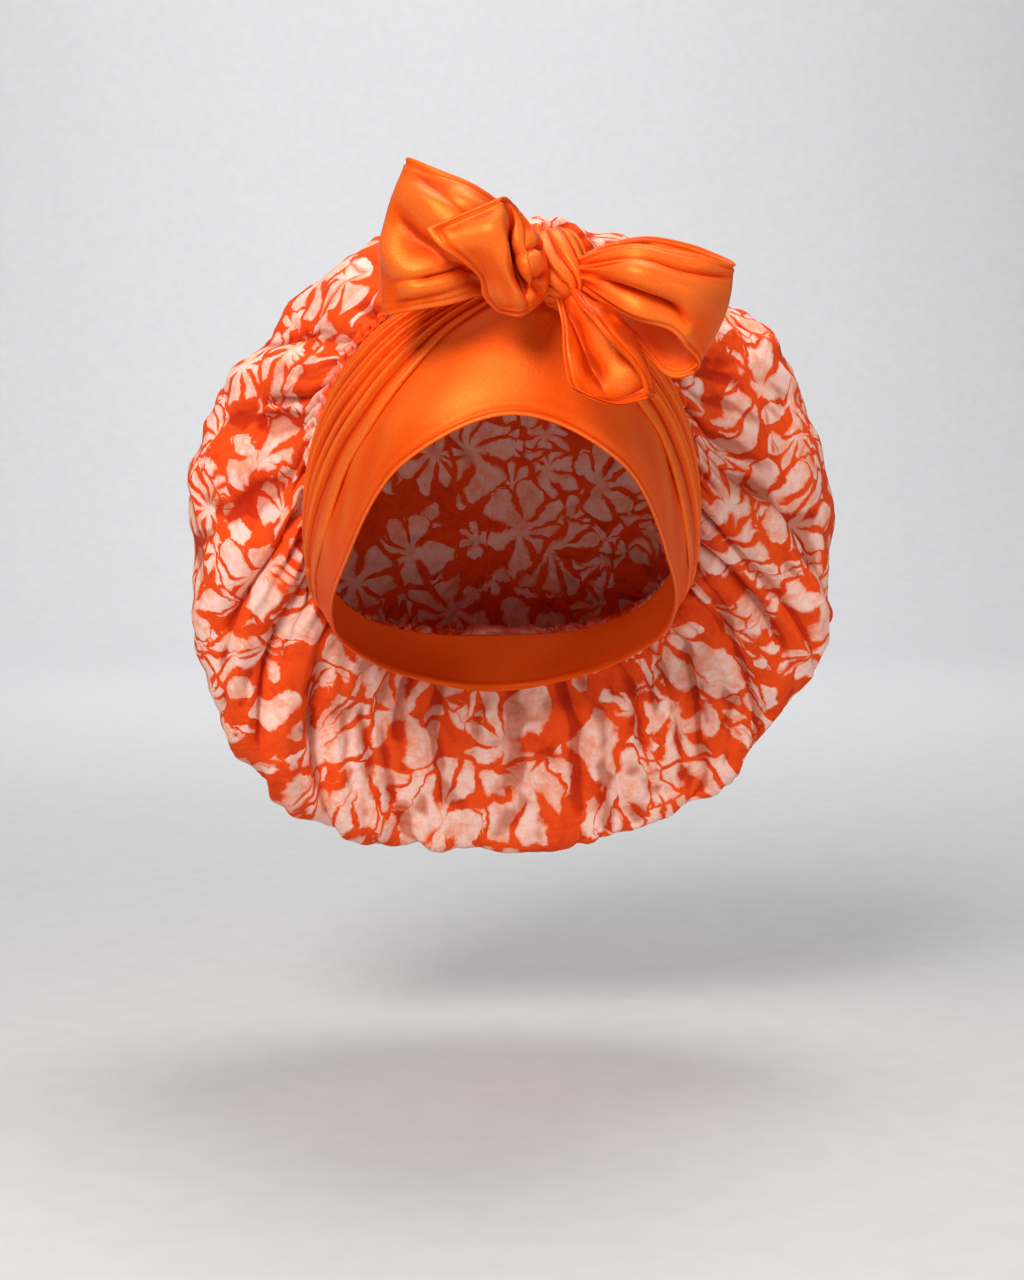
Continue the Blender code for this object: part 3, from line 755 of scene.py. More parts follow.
@dataclass
class Band:
    """The wide satin band round the opening, with a rolled hem along its front edge."""

    opening: Opening
    columns: int = 420
    rows: int = 72
    wall: float = 0.0015
    hem_roll: float = 0.0009
    pull: float = 0.0006

    def build(self, material: bpy.types.Material) -> bpy.types.Object:
        """The band as one closed loop: the outer face, plus a rolled hem, plus faint folds that lean to the knot.

        Args:
            material: The satin.

        Returns:
            The finished piece.
        """
        angles = 90.0 - np.arange(self.columns) * TURN / self.columns
        shares = np.linspace(0, 1, self.rows) ** 1.25
        grid, out = self.opening.surface(angles, shares)
        grid = grid + out[None] * self.relief(grid, angles)[:, :, None]
        return satin_sheet("satin_band", "band", grid, material, self.wall, closed=True)

    def relief(self, grid: np.ndarray, angles: np.ndarray) -> np.ndarray:
        """How far the outer face stands out: a roll at the hem, a groove behind it, and slanting folds."""
        deep = np.linalg.norm(grid - grid[:1], axis=-1)
        roll = self.hem_roll * bell(deep - 0.0009, 0.0011) - 0.0003 * bell(deep - 0.0032, 0.0009)
        turn = wrapped(90.0 - angles)[None]
        slant = turn * np.sign(turn + 1e-9) * 0.0016 + deep * 0.9
        folds = bell(np.abs(turn) - 52, 26) * np.sin(slant * 2 * np.pi / 0.030 + 1.1) * smooth(deep, 0.004, 0.02)
        waves = ripples(grid, 0.045, 3)
        return roll + self.pull * (0.6 * folds + 0.5 * waves * smooth(deep, 0.002, 0.02))


# ---------------------------------------------------------------- the gathered crown


@dataclass(frozen=True)
class Creases:
    """A set of small creases at uneven places round the seam.

    It holds their number, the greatest depth, the mean half width in degrees, the least and the greatest share
    at which one has faded, the seed of the random numbers, and the share by which all have their full depth.
    """

    count: int
    depth: float
    half_width: float
    near: float
    far: float
    seed: int
    starts: float


@dataclass
class Crown:
    """The large bag of batik cotton, gathered on to the band's seam and closed at the back.

    Shares are shares of the way from the seam to the back, angles are in degrees and lengths in metres.
    """

    opening: Opening
    # share, half width, middle across, middle height, top, bottom, depth at top, side and bottom, share of the lift
    rings: Rows = (
        (0.07, 0.101, 0.002, 0.006, 0.1190, -0.076, -0.035, 0.016, 0.101, 0.60),
        (0.16, 0.128, 0.004, 0.000, 0.1310, -0.116, -0.012, 0.023, 0.101, 0.15),
        (0.28, 0.152, 0.007, -0.010, 0.1370, -0.165, 0.026, 0.046, 0.108, 0.0),
        (0.45, 0.145, 0.0065, -0.012, 0.1210, -0.152, 0.080, 0.092, 0.132, 0.0),
        (0.65, 0.104, 0.005, -0.014, 0.0780, -0.104, 0.124, 0.131, 0.149, 0.0),
        (0.82, 0.054, 0.005, -0.016, 0.0320, -0.062, 0.145, 0.148, 0.155, 0.0),
    )
    back: tuple[float, float, float] = (0.005, 0.152, -0.016)
    lower_power: float = 2.4
    neck_share: float = 0.012
    neck_length: float = 0.003
    seam_gap: float = 0.0004
    # angle at the seam, angle at the end, half widths of the steep and the slow side, depth, first and last share
    folds: Rows = (
        (118, 104, 5, 9, 0.007, 0.05, 0.40), (136, 143, 4, 9, 0.013, 0.03, 0.56), (158, 160, 4, 9, 0.008, 0.03, 0.36),
        (172, 184, 4, 11, 0.011, 0.03, 0.38), (184, 213, 4, 10, 0.014, 0.03, 0.44), (201, 232, 4, 9, 0.014, 0.04, 0.46),
        (222, 250, 4, 8, 0.010, 0.10, 0.46), (246, 262, 4, 8, 0.006, 0.14, 0.44), (290, 281, 4, 8, 0.006, 0.14, 0.44),
        (316, 296, 4, 9, 0.011, 0.10, 0.46), (336, 312, 4, 9, 0.012, 0.04, 0.44), (348, 332, 4, 9, 0.011, 0.03, 0.42),
        (374, 348, 4, 10, 0.014, 0.03, 0.42), (394, 384, 4, 10, 0.009, 0.03, 0.36), (416, 410, 4, 9, 0.009, 0.04, 0.40),
        (436, 434, 4, 9, 0.007, 0.06, 0.40),
    )
    fold_gain: float = 1.45
    # angle, half width, height
    puffs: Rows = ((122, 18, 0.005), (232, 24, 0.009), (20, 30, 0.003))
    puff_share: float = 0.29
    puff_reach: float = 0.16
    fine_columns: int = 896
    fine_rows: int = 20
    fine_share: float = 0.062
    rows: int = 58
    wall: float = 0.0011
    cut_radius: float = 0.30
    lean: float = 0.55
    creases: tuple[Creases, ...] = (
        Creases(112, 0.0058, 0.84, 0.040, 0.11, 12, 0.007),
        Creases(64, 0.0050, 1.20, 0.08, 0.24, 17, 0.03),
        Creases(36, 0.0105, 1.80, 0.14, 0.50, 11, 0.06),
    )
    # height, share, reach in shares
    rims: Rows = ((0.0033, 0.011, 0.009), (-0.0010, 0.029, 0.007), (0.0034, 0.058, 0.035))
    slip_gain: float = 0.0042
    slip_waves: float = 9.0
    last_share: float = 0.975
    seed: int = 11

    def ring_grid(self, angles: np.ndarray, shares: np.ndarray) -> np.ndarray:
        """The bag without folds: rings joined by a smooth curve from the seam to the back, read row by row.

        Each ring is a half ellipse above and a half superellipse below, and its depth grows with the square of
        the height.

        Args:
            angles: A grid of angles, one row for each share.
            shares: Shares of the way from the seam to the back.

        Returns:
            The grid of points.
        """
        places = [0.0, self.neck_share] + [ring[0] for ring in self.rings] + [1.0]
        rows = []
        for row, share in zip(angles, shares):
            around = np.radians(row)
            across, upward = np.cos(around), np.sin(around)
            _, seam, rise, out = self.opening.frame(row)
            lift = self.opening.lift(seam[:, 0]) * (upward > 0)
            first = seam + rise * self.seam_gap
            stack = [first, first + (rise + out * 0.5) * self.neck_length]
            power = np.where(upward >= 0, 2.0, self.lower_power)
            for _, half, middle_x, middle_z, top, bottom, deep_top, deep_side, deep_bottom, lifted in self.rings:
                reach = np.where(upward >= 0, top - middle_z, middle_z - bottom)
                far = np.where(upward >= 0, deep_top - deep_side, deep_bottom - deep_side)
                x = middle_x + half * signed_power(across, 2 / power)
                z = middle_z + reach * signed_power(upward, 2 / power) + lifted * lift
                stack.append(np.stack([x, deep_side + far * upward**2, z], -1))
            stack.append(np.broadcast_to(np.array(self.back), first.shape))
            rows.append(through(places, np.array(stack), [share])[0])
        return np.array(rows)

    def drift(self, seams: np.ndarray, shares: np.ndarray) -> np.ndarray:
        """The angle of each column at each share: a column moves with the folds on either side of it.

        Args:
            seams: The columns' angles at the seam.
            shares: Shares of the way to the back.

        Returns:
            A grid of angles.
        """
        table = np.array(self.folds)
        order = np.argsort(table[:, 0] % TURN)
        at, rim, start, end = (table[order][:, i] for i in (0, 1, 5, 6))
        moves = (rim - at)[None] * np.clip((shares[:, None] - start) / (end - start), 0, 1) ** 0.8
        at = at % TURN
        return np.array([seams + np.interp(seams % TURN, at, move, period=TURN) for move in moves])

    def fold_heights(self, seams: np.ndarray, shares: np.ndarray) -> tuple[np.ndarray, np.ndarray]:
        """The large folds: each a crease that is steep on the side it leans to.

        Args:
            seams: The columns' angles at the seam.
            shares: Shares of the way to the back.

        Returns:
            How far the folds stand out, and how far they lean along the rows.
        """
        height = np.zeros((len(shares), len(seams)))
        side = np.zeros_like(height)
        for at, rim, steep, wide, depth, start, end in self.folds:
            part = np.clip((shares - start) / (end - start), 0, 1)[:, None]
            aside = wrapped(seams - at)[None] * (1.0 if rim >= at else -1.0)
            along = np.clip(part / 0.22, 0, 1) * (1 - part) ** 1.2
            shape = np.where(aside > 0, bell(aside, steep * 1.05, 1.35), bell(aside, wide * 1.1, 1.5))
            height -= depth * along * shape * 1.1
            roll = bell(aside + steep * 1.2, steep * 1.6)
            height += depth * 0.20 * along * roll
            side += depth * along * roll * (1.0 if rim >= at else -1.0)
        return height, side

    def crease_heights(
        self, seams: np.ndarray, shares: np.ndarray, creases: Creases, signed: bool = False,
    ) -> np.ndarray:
        """Many small creases, each with its own depth, width, length and slant.

        Args:
            seams: The columns' angles at the seam.
            shares: Shares of the way to the back.
            creases: How many there are, how deep and wide, and between which shares they have faded.
            signed: Whether each one counts as plus or minus one at its deepest, by chance, instead of its depth.

        Returns:
            How deep the creases are, or their signed strengths.
        """
        count, width = creases.count, creases.half_width
        draw = np.random.default_rng(creases.seed)
        height = np.zeros((len(shares), len(seams)))
        places = (np.arange(count) + draw.uniform(-0.36, 0.36, count)) * TURN / count
        deeps = draw.uniform(0.45, 1.0, count)
        wides = draw.uniform(0.7, 1.4, count)
        ends = draw.uniform(creases.near, creases.far, count)
        slants = draw.normal(0, 1, count)
        scales = draw.choice([-1.0, 1.0], count) if signed else np.full(count, creases.depth)
        for at, deep, wide, end, slant, scale in zip(places, deeps, wides, ends, slants, scales):
            part = np.clip(shares / end, 0, 1)[:, None]
            aside = wrapped(seams[None] - at - slant * width * 1.4 * part)
            height += scale * deep * (1 - part) ** 1.3 * bell(aside, width * wide * (1 + 0.7 * part), 1.3)
        return height

    def slip(self, seams: np.ndarray, shares: np.ndarray) -> np.ndarray:
        """How far the pattern has moved along each row, because part of the cloth is hidden in the creases.

        At each crease the pattern jumps one way or the other by a few millimetres. The jumps are added up along
        the row through the row's waves, of which the longest are left out, so that the sum stays small.

        Args:
            seams: The columns' angles at the seam.
            shares: Shares of the way to the back.

        Returns:
            The moves, in metres.
        """
        rates = sum(self.crease_heights(seams, shares, creases, True) for creases in self.creases)
        for number, (at, _, steep, _, _, start, end) in enumerate(self.folds):
            part = np.clip((shares - start) / (end - start), 0, 1)[:, None]
            strength = np.clip(part / 0.22, 0, 1) * (1 - part) * (0.6 if number % 2 else -0.6)
            rates = rates + strength * bell(wrapped(seams - at)[None], steep, 1.5)
        waves = np.fft.rfft(rates, axis=1)
        number = np.arange(1, waves.shape[1])
        waves[:, 0] = 0
        waves[:, 1:] *= (1 - bell(number, self.slip_waves)) / (2j * np.pi * number / TURN)
        return self.slip_gain * np.fft.irfft(waves, n=len(seams), axis=1)

    def relief(
        self, base: np.ndarray, angles: np.ndarray, seams: np.ndarray, shares: np.ndarray,
    ) -> tuple[np.ndarray, np.ndarray]:
        """Every fold, tuck, gather and wrinkle of the bag.

        Args:
            base: The bag without folds.
            angles: The grid of angles.
            seams: The columns' angles at the seam.
            shares: Shares of the way to the back.

        Returns:
            How far the cloth stands out, and how far it leans along the rows.
        """
        height, side = self.fold_heights(seams, shares)
        share = shares[:, None]
        height = height * self.fold_gain * smooth(share, 0.0, 0.02)
        for creases in self.creases:
            height -= self.crease_heights(seams, shares, creases) * smooth(share, 0.0, creases.starts)
        for tall, at, reach in self.rims:
            height += tall * bell(share - at, reach)
        for at, width, tall in self.puffs:
            height += tall * bell(share - self.puff_share, self.puff_reach) * bell(wrapped(angles - at), width)
        calm = smooth(share, 0.02, 0.14) * (1 - 0.6 * smooth(share, 0.5, 0.9))
        polar = np.stack(np.broadcast_arrays(seams[None] * 0.0030, share * 0.11), -1)
        waves = ((0.0022, base, 0.060), (0.0011, base, 0.026), (0.0011, polar, 0.020), (0.0005, base, 0.011))
        for number, (tall, places, size) in enumerate(waves, start=2):
            height += tall * ripples(places, size, self.seed + number) * calm
        return height, side * smooth(share, 0.0, 0.03)

    def flat_places(self, base: np.ndarray, radius: np.ndarray) -> np.ndarray:
        """Where each point lies on the flat disc of cloth that the bag is cut from: its turn is its share of the ring.

        Args:
            base: The bag without folds.
            radius: The radius on the disc of each row.

        Returns:
            The places on the disc, with the first column repeated at the end.
        """
        girth = np.linalg.norm(np.roll(base, -1, axis=1) - base, axis=-1)
        steps = girth / girth.sum(1, keepdims=True)
        turn = np.concatenate([np.zeros((len(steps), 1)), np.cumsum(steps, axis=1)], axis=1)
        around = np.pi / 2 - 2 * np.pi * turn
        return radius[:, None, None] * np.stack([np.cos(around), np.sin(around)], -1)

    def thinned(self, values: np.ndarray) -> np.ndarray:
        """A grid as a list: all its columns in the fine rows, and every second one beyond."""
        values = values.reshape(*values.shape[:2], -1)
        fine, loose = values[: self.fine_rows], values[self.fine_rows :, ::2]
        return np.concatenate([fine.reshape(-1, values.shape[-1]), loose.reshape(-1, values.shape[-1])])

    def faces(self, closed: bool) -> list[np.ndarray]:
        """The faces of the thinned grid with a point at the back.

        Args:
            closed: Whether each row closes on itself, as the points do. The places on the flat cloth have one
                more column instead.

        Returns:
            The fine faces, the five-cornered ones at the step, the loose ones and the fan at the back.
        """
        coarse = self.fine_columns // 2
        extra = 0 if closed else 1
        wide, narrow = self.fine_columns + extra, coarse + extra
        column = np.arange(coarse)
        after, next_fine = (column + 1) % narrow, (2 * column + 2) % wide
        last, start = (self.fine_rows - 1) * wide, self.fine_rows * wide
        step = np.stack(
            [last + 2 * column, last + 2 * column + 1, last + next_fine, start + after, start + column], -1
        )
        tip = start + (self.rows - 1) * narrow
        fan = np.stack([tip + column, tip + after, np.full(coarse, tip + narrow)], -1)
        fine, loose = (
            grid_corners(rows, columns, True)[extra]
            for rows, columns in ((self.fine_rows, self.fine_columns), (self.rows, coarse))
        )
        return [fine, step, loose + start, fan]

    def build(self, material: bpy.types.Material) -> bpy.types.Object:
        """The bag as one mesh: fine columns at the gathers, half as many beyond, and a point at the back.

        Args:
            material: The batik.

        Returns:
            The finished piece.
        """
        near = np.linspace(0, self.fine_share, self.fine_rows)
        way = np.linspace(0, 1, self.rows + 1)[1:] ** 1.3
        shares = np.concatenate([near, self.fine_share + (self.last_share - self.fine_share) * way])
        seams = 90.0 - np.arange(self.fine_columns) * TURN / self.fine_columns
        angles = self.drift(seams, shares)
        base = self.ring_grid(angles, shares)
        arc = lengths_of(base, 0)
        total = arc[-1] + float(np.linalg.norm(base[-1] - np.array(self.back), axis=-1).mean())
        ways = unit(np.roll(base, 1, axis=1) - np.roll(base, -1, axis=1))
        height, side = self.relief(base, angles, seams, shares)
        grid = base + normals_of(base, True) * height[:, :, None] + ways * (side * self.lean)[:, :, None]

        points = np.concatenate([self.thinned(grid), [self.back]])
        places = np.concatenate([self.thinned(self.flat_places(base, total - arc)), [[0.0, 0.0]]])
        cloth = base + ways * self.slip(seams, shares)[:, :, None]
        # The ridge attribute is the mask of the batik's painted shadow in the creases and tucks.
        crests = ridges_of(grid, True, (0.0042, 0.0130), (1.6, 1.4))
        near = np.broadcast_to(1 - smooth(shares, 0.012, 0.040)[:, None], crests.shape)
        layers = {
            "cloth": np.concatenate([self.thinned(cloth), [self.back]]),
            "ridge": np.append(self.thinned(crests), 0.5),
            "near": np.append(self.thinned(near), 0.0),
        }
        flat = [places[marks] for marks in self.faces(False)]
        made = mesh_from("batik_crown", points, self.faces(True), flat, material, layers)
        thicken(made, self.wall)
        placed(made, "crown")
        return made


# ---------------------------------------------------------------- the tie


@dataclass
class Wrap:
    """One pleated end of the tie, from under the knot down the side of the band."""

    opening: Opening
    side: Side
    rows: Rows
    outer_share: float = 0.965
    pleats: tuple[float, ...] = (0.0, 0.22, 0.37, 0.52, 0.64, 0.76, 0.87, 0.94, 1.0)
    heights: tuple[float, ...] = (0.34, 1.0, 0.72, 1.0, 0.70, 0.86, 0.62, 0.50)
    columns: int = 260
    across: int = 128
    wall: float = 0.0005
    clearance: float = 0.00015
    height_gain: float = 1.35

    def relief(self, turn: np.ndarray, across: np.ndarray, tallest: np.ndarray) -> np.ndarray:
        """How high the pleats stand: each rises at once at its folded edge and falls slowly to the next.

        Args:
            turn: The columns' turns from the top.
            across: Shares across the strip, from the inner edge to the seam.
            tallest: The greatest height at each column.

        Returns:
            The heights of the outer face over the band.
        """
        inner = arch(across)[:, None]
        sway = 0.030 * np.sin(turn / 15.0)[None] + 0.02 * np.sin(turn / 6.1 + 1.0)[None]
        place = across[:, None] + sway * inner
        height = np.zeros(place.shape)
        for number, (start, end) in enumerate(zip(self.pleats, self.pleats[1:])):
            part = (place - start) / (end - start)
            rise = 1 - np.clip(1 - part / (0.10 if number == 0 else 0.24), 0, 1) ** 2
            slope = 1.0 - 0.86 * np.clip(part, 0, 1) ** 0.80
            inside = (part >= 0) & (part < 1)
            height = np.where(inside, self.heights[number] * rise * slope, height)
        edge = 1 - smooth(across, 0.94, 1.0)[:, None] * 0.7
        creases = 0.07 * np.sin(place * 46 + np.sin(turn / 21.0)[None] * 3.0) * inner
        rest = 0.0001 + (self.clearance + self.wall) * smooth(across, 0.0, 0.05)[:, None]
        return rest + tallest[None] * (height * edge + creases * edge)

    def build(self, material: bpy.types.Material) -> bpy.types.Object:
        """The strip on the band's outer face, moved out by the pleats' heights.

        Args:
            material: The satin.

        Returns:
            The finished piece.
        """
        table = np.array(self.rows)
        turn = np.linspace(table[0, 0], table[-1, 0], self.columns)
        inner, tallest = looked_up(table, turn).T
        across = np.linspace(0, 1, self.across)
        shares = inner[None] + (self.outer_share - inner)[None] * across[:, None]
        grid, out = self.opening.surface(90.0 - self.side.value * turn, shares)
        grid = grid + out[None] * self.relief(turn, across, tallest * self.height_gain)[:, :, None]
        if self.side is Side.LEFT:
            grid = grid[:, ::-1]
        name = self.side.name.lower()
        return satin_sheet(
            f"pleated_wrap_{name}", f"wrap_{name}", grid, material, self.wall
        )


@dataclass
class Knot:
    """The knot: the tie wound round itself, as a leaning barrel with slanting overlapped folds."""

    middle: Place = (0.0200, -0.0715, 0.1070)
    radii: Place = (0.0112, 0.0115, 0.0180)
    windings: int = 11
    cloth: tuple[float, float] = (0.072, 0.050)
    tilt: float = -8.0
    lean: float = 34.0
    rows: int = 90
    columns: int = 150

    def build(self, material: bpy.types.Material) -> bpy.types.Object:
        """A superellipsoid whose radius steps down across each slanting fold.

        Args:
            material: The satin.

        Returns:
            The finished piece.
        """
        polar = np.pi * (np.arange(1, self.rows))[:, None] / self.rows
        around = 2 * np.pi * np.arange(self.columns)[None] / self.columns
        winding = self.windings * around / (2 * np.pi) - 0.95 * polar + 0.20 * np.sin(2 * polar + around)
        part = winding % 1.0
        fold = np.minimum(part / 0.22, 1) ** 0.6 * (1 - part) ** 0.8
        tall = 0.8 + 0.4 * np.sin(2.3 * np.floor(winding))
        ridge = 1 + 0.24 * tall * (fold - 0.40) * np.sin(polar) ** 0.5
        ring = signed_power(np.sin(polar), 0.7) * ridge
        x, y = ring * signed_power(np.cos(around), 0.85), ring * signed_power(np.sin(around), 0.85)
        ball = np.stack(np.broadcast_arrays(x, y, signed_power(np.cos(polar), 0.85)), -1)[:, ::-1]
        points = np.concatenate([ball.reshape(-1, 3), [[0, 0, 1.0], [0, 0, -1.0]]]) * np.array(self.radii)
        points = turned(turned(points, -self.lean, 0), self.tilt, 1) + np.array(self.middle)
        faces, marks = grid_corners(self.rows - 1, self.columns, True)
        column = np.arange(self.columns)
        after, last = (column + 1) % self.columns, (self.rows - 2) * self.columns
        top = np.stack([after, column, np.full(self.columns, len(points) - 2)], -1)
        low = np.stack([last + column, last + after, np.full(self.columns, len(points) - 1)], -1)
        long, wide = self.cloth
        across, down = np.meshgrid(np.linspace(0, long, self.columns + 1), np.linspace(0.001, 0.049, self.rows - 1))
        flat = np.stack([across, down], -1).reshape(-1, 2)
        end = (self.rows - 2) * (self.columns + 1)
        upper, lower = flat[column], flat[end + column]
        top_flat = np.stack([flat[column + 1], upper, upper * [1, 0]], 1)
        low_flat = np.stack([lower, flat[end + column + 1], lower * [1, 0] + [0, wide]], 1)
        # The ridge attribute is the mask of the satin's painted shade between the folds and painted highlight on their
        # crests; the two poles get a little painted shade.
        crests = ridges_of(points[:-2].reshape(*ball.shape), True, (0.0012, 0.0030), (2.2, 1.6))
        crests = np.append(crests.ravel(), [0.4, 0.4])
        places = [flat[marks], top_flat, low_flat]
        made = mesh_from("knot_of_the_tie", points, [faces, top, low], places, material, {"ridge": crests})
        placed(made, "knot")
        return made


def hem_relief(inset: np.ndarray, tall: float) -> np.ndarray:
    """A double rolled hem, by the way in from the edge: a round roll, a sharp groove and a lower ridge."""
    roll, groove, ridge = bell(inset - 0.0007, 0.0010), bell(inset - 0.0020, 0.0005), bell(inset - 0.0032, 0.0009)
    return tall * (roll - 0.9 * groove + 0.45 * ridge)


@dataclass
class Fold:
    """A crease or a ridge on a strip, from one place to another, as shares along and across it."""

    start: tuple[float, float]
    end: tuple[float, float]
    height: float
    width: float
    power: float = 1.6
    fade: float = 0.35

    def relief(self, along: np.ndarray, across: np.ndarray, stretch: float) -> np.ndarray:
        """The fold's height: a bell by the distance from its line, faded at both ends.

        Args:
            along: Shares along the strip, as a grid.
            across: Shares across the strip, as a grid.
            stretch: The strip's length over its width, which makes distances even.

        Returns:
            The height at each point of the grid.
        """
        origin = np.array([self.start[0] * stretch, self.start[1]])
        way = np.array([self.end[0] * stretch, self.end[1]]) - origin
        reach = float(np.linalg.norm(way))
        way = way / reach
        x, y = along * stretch - origin[0], across - origin[1]
        part = (x * way[0] + y * way[1]) / reach
        aside = x * way[1] - y * way[0]
        ends = smooth(part, -self.fade * 0.5, self.fade) * (1 - smooth(part, 1 - self.fade, 1 + self.fade * 0.5))
        return self.height * ends * bell(aside, self.width, self.power)


@dataclass
class Loop:
    """One loop of the bow: a folded strip from the knot, round the loop's end and back behind."""

    side: Side
    sections: Rows
    folds: tuple[Fold, ...]
    columns: int = 200
    rows: int = 84
    wall: float = 0.0012
    hem: float = 0.0007

    def build(self, material: bpy.types.Material) -> bpy.types.Object:
        """The strip: each section runs straight from its low edge to its top edge with a belly, plus its folds.

        Args:
            material: The satin.

        Returns:
            The finished piece.
        """
        table = evenly(self.sections, np.linspace(0, 1, self.columns))
        share = np.linspace(0, 1, self.rows)
        across = share[:, None, None]
        belly = np.concatenate([table[:, 6:8], np.zeros((self.columns, 1))], -1)[None]
        grid = table[None, :, 3:6] * (1 - across) + table[None, :, 0:3] * across + belly * arch(across)
        outward = normals_of(grid, False) * self.side.value
        grid = grid + outward * self.relief(grid, share)[:, :, None]
        if self.side is Side.LEFT:
            grid = grid[:, ::-1]
        name = self.side.name.lower()
        return satin_sheet(
            f"bow_loop_{name}", f"loop_{name}", grid, material, self.wall
        )

    def relief(self, grid: np.ndarray, share: np.ndarray) -> np.ndarray:
        """The folds, a fan of fine creases at the knot, slow waves, and a double hem along both edges."""
        along, across = np.meshgrid(np.linspace(0, 1, grid.shape[1]), share)
        wide = np.linalg.norm(np.diff(grid, axis=0), axis=-1).sum(0)
        height = np.zeros(along.shape)
        for fold in self.folds:
            height += fold.relief(along, across, 3.0)
        pinch = bell(along, 0.10) + 0.8 * bell(1 - along, 0.10)
        height += 0.0010 * pinch * np.sin(across * 2 * np.pi * 3.3 + 0.8 + along * 5) * arch(across)
        height += 0.0008 * ripples(grid, 0.034, 21) * (1 - pinch)
        inset = np.minimum(across, 1 - across) * wide[None]
        return height + hem_relief(inset, self.hem)


@dataclass
class Tail:
    """One loose end of the tie: a sheet through named points across each of its sections."""

    side: Side
    sections: Rows
    folds: tuple[Fold, ...]
    columns: int = 130
    rows: int = 130
    wall: float = 0.0011
    hem: float = 0.0006
    hemmed: tuple[bool, bool, bool, bool] = (True, True, True, True)

    def build(self, material: bpy.types.Material) -> bpy.types.Object:
        """The sheet: smooth curves down the sections and then across them, plus folds and hems.

        Args:
            material: The satin.

        Returns:
            The finished piece.
        """
        table = np.array(self.sections).reshape(len(self.sections), -1, 3)
        rows = evenly(table, np.linspace(0, 1, self.rows))
        grid = evenly(rows.transpose(1, 0, 2), np.linspace(0, 1, self.columns)).transpose(1, 0, 2)
        outward = -normals_of(grid, False)
        grid = (grid + outward * self.relief(grid)[:, :, None])[:, ::-1]
        name = self.side.name.lower()
        return satin_sheet(
            f"tie_end_{name}", f"tail_{name}", grid, material, self.wall
        )

    def relief(self, grid: np.ndarray) -> np.ndarray:
        """The folds, slow waves, and a double hem along the edges that have one."""
        along, down = np.meshgrid(np.linspace(0, 1, grid.shape[1]), np.linspace(0, 1, grid.shape[0]))
        wide = np.linalg.norm(np.diff(grid, axis=1), axis=-1).sum(1)[:, None]
        tall = np.linalg.norm(np.diff(grid, axis=0), axis=-1).sum(0)[None]
        edge = np.minimum(np.minimum(along, 1 - along) * wide, np.minimum(down, 1 - down) * tall)
        height = 0.0007 * ripples(grid, 0.018, 31) * smooth(edge, 0.001, 0.008)
        for fold in self.folds:
            height += fold.relief(along, down, 1.0)
        insets = (along * wide, (1 - along) * wide, down * tall, (1 - down) * tall)
        hemmed = [inset for inset, there in zip(insets, self.hemmed) if there]
        return height + hem_relief(np.minimum.reduce(hemmed), self.hem)


@dataclass
class Frill:
    """The tie's short gathered edge that stands up behind the knot."""

    top: Rows = (
        (0.0100, -0.0490, 0.1276), (0.0160, -0.0500, 0.1262), (0.0215, -0.0500, 0.1238), (0.0265, -0.0500, 0.1204),
        (0.0310, -0.0500, 0.1170), (0.0340, -0.0500, 0.1140),
    )
    low: Rows = (
        (0.0110, -0.0585, 0.1150), (0.0160, -0.0595, 0.1150), (0.0215, -0.0600, 0.1130), (0.0265, -0.0605, 0.1105),
        (0.0305, -0.0600, 0.1080), (0.0330, -0.0590, 0.1060),
    )
    scallops: int = 6
    puff: float = 0.0021
    columns: int = 150
    rows: int = 26
    wall: float = 0.0008

    def build(self, material: bpy.types.Material) -> bpy.types.Object:
        """A strip between two curves, puffed forwards between its gathers and scalloped along the top.

        Args:
            material: The satin.

        Returns:
            The finished piece.
        """
        across = np.linspace(0, 1, self.columns)
        up = np.linspace(0, 1, self.rows)[:, None, None]
        grid = evenly(self.low, across)[None] * (1 - up) + evenly(self.top, across)[None] * up
        puffs = np.abs(np.sin(np.pi * self.scallops * (across + 0.03 * np.sin(across * 9.0)))) ** 0.8
        grid = grid + puffs[None, :, None] * up**0.6 * self.puff * np.array([0.0, -1.0, 0.45])
        grid = grid + np.array([0.0, 0.0014, -0.0006]) * smooth(up, 0.86, 1.0)
        return satin_sheet(
            "tie_edge_behind_knot", None, grid, material, self.wall
        )


# ---------------------------------------------------------------- the studio


def aimed(name: str, data: bpy.types.ID, place: Place, target: Place) -> None:
    """Adds a light or a camera that stands at a place and looks at its target."""
    made = linked(name, data)
    made.location = place
    made.rotation_euler = (Vector(target) - Vector(place)).to_track_quat("-Z", "Y").to_euler()


@dataclass(frozen=True)
class Lamp:
    """A square soft light, with its side in metres and its power in watts."""

    name: str
    place: Place
    target: Place
    size: float
    power: float
    colour: Place

    def build(self) -> None:
        """Hangs the light, looking at its target."""
        lamp = bpy.data.lights.new(self.name, "AREA")
        lamp.size, lamp.energy, lamp.color = self.size, self.power, self.colour
        aimed(self.name, lamp, self.place, self.target)


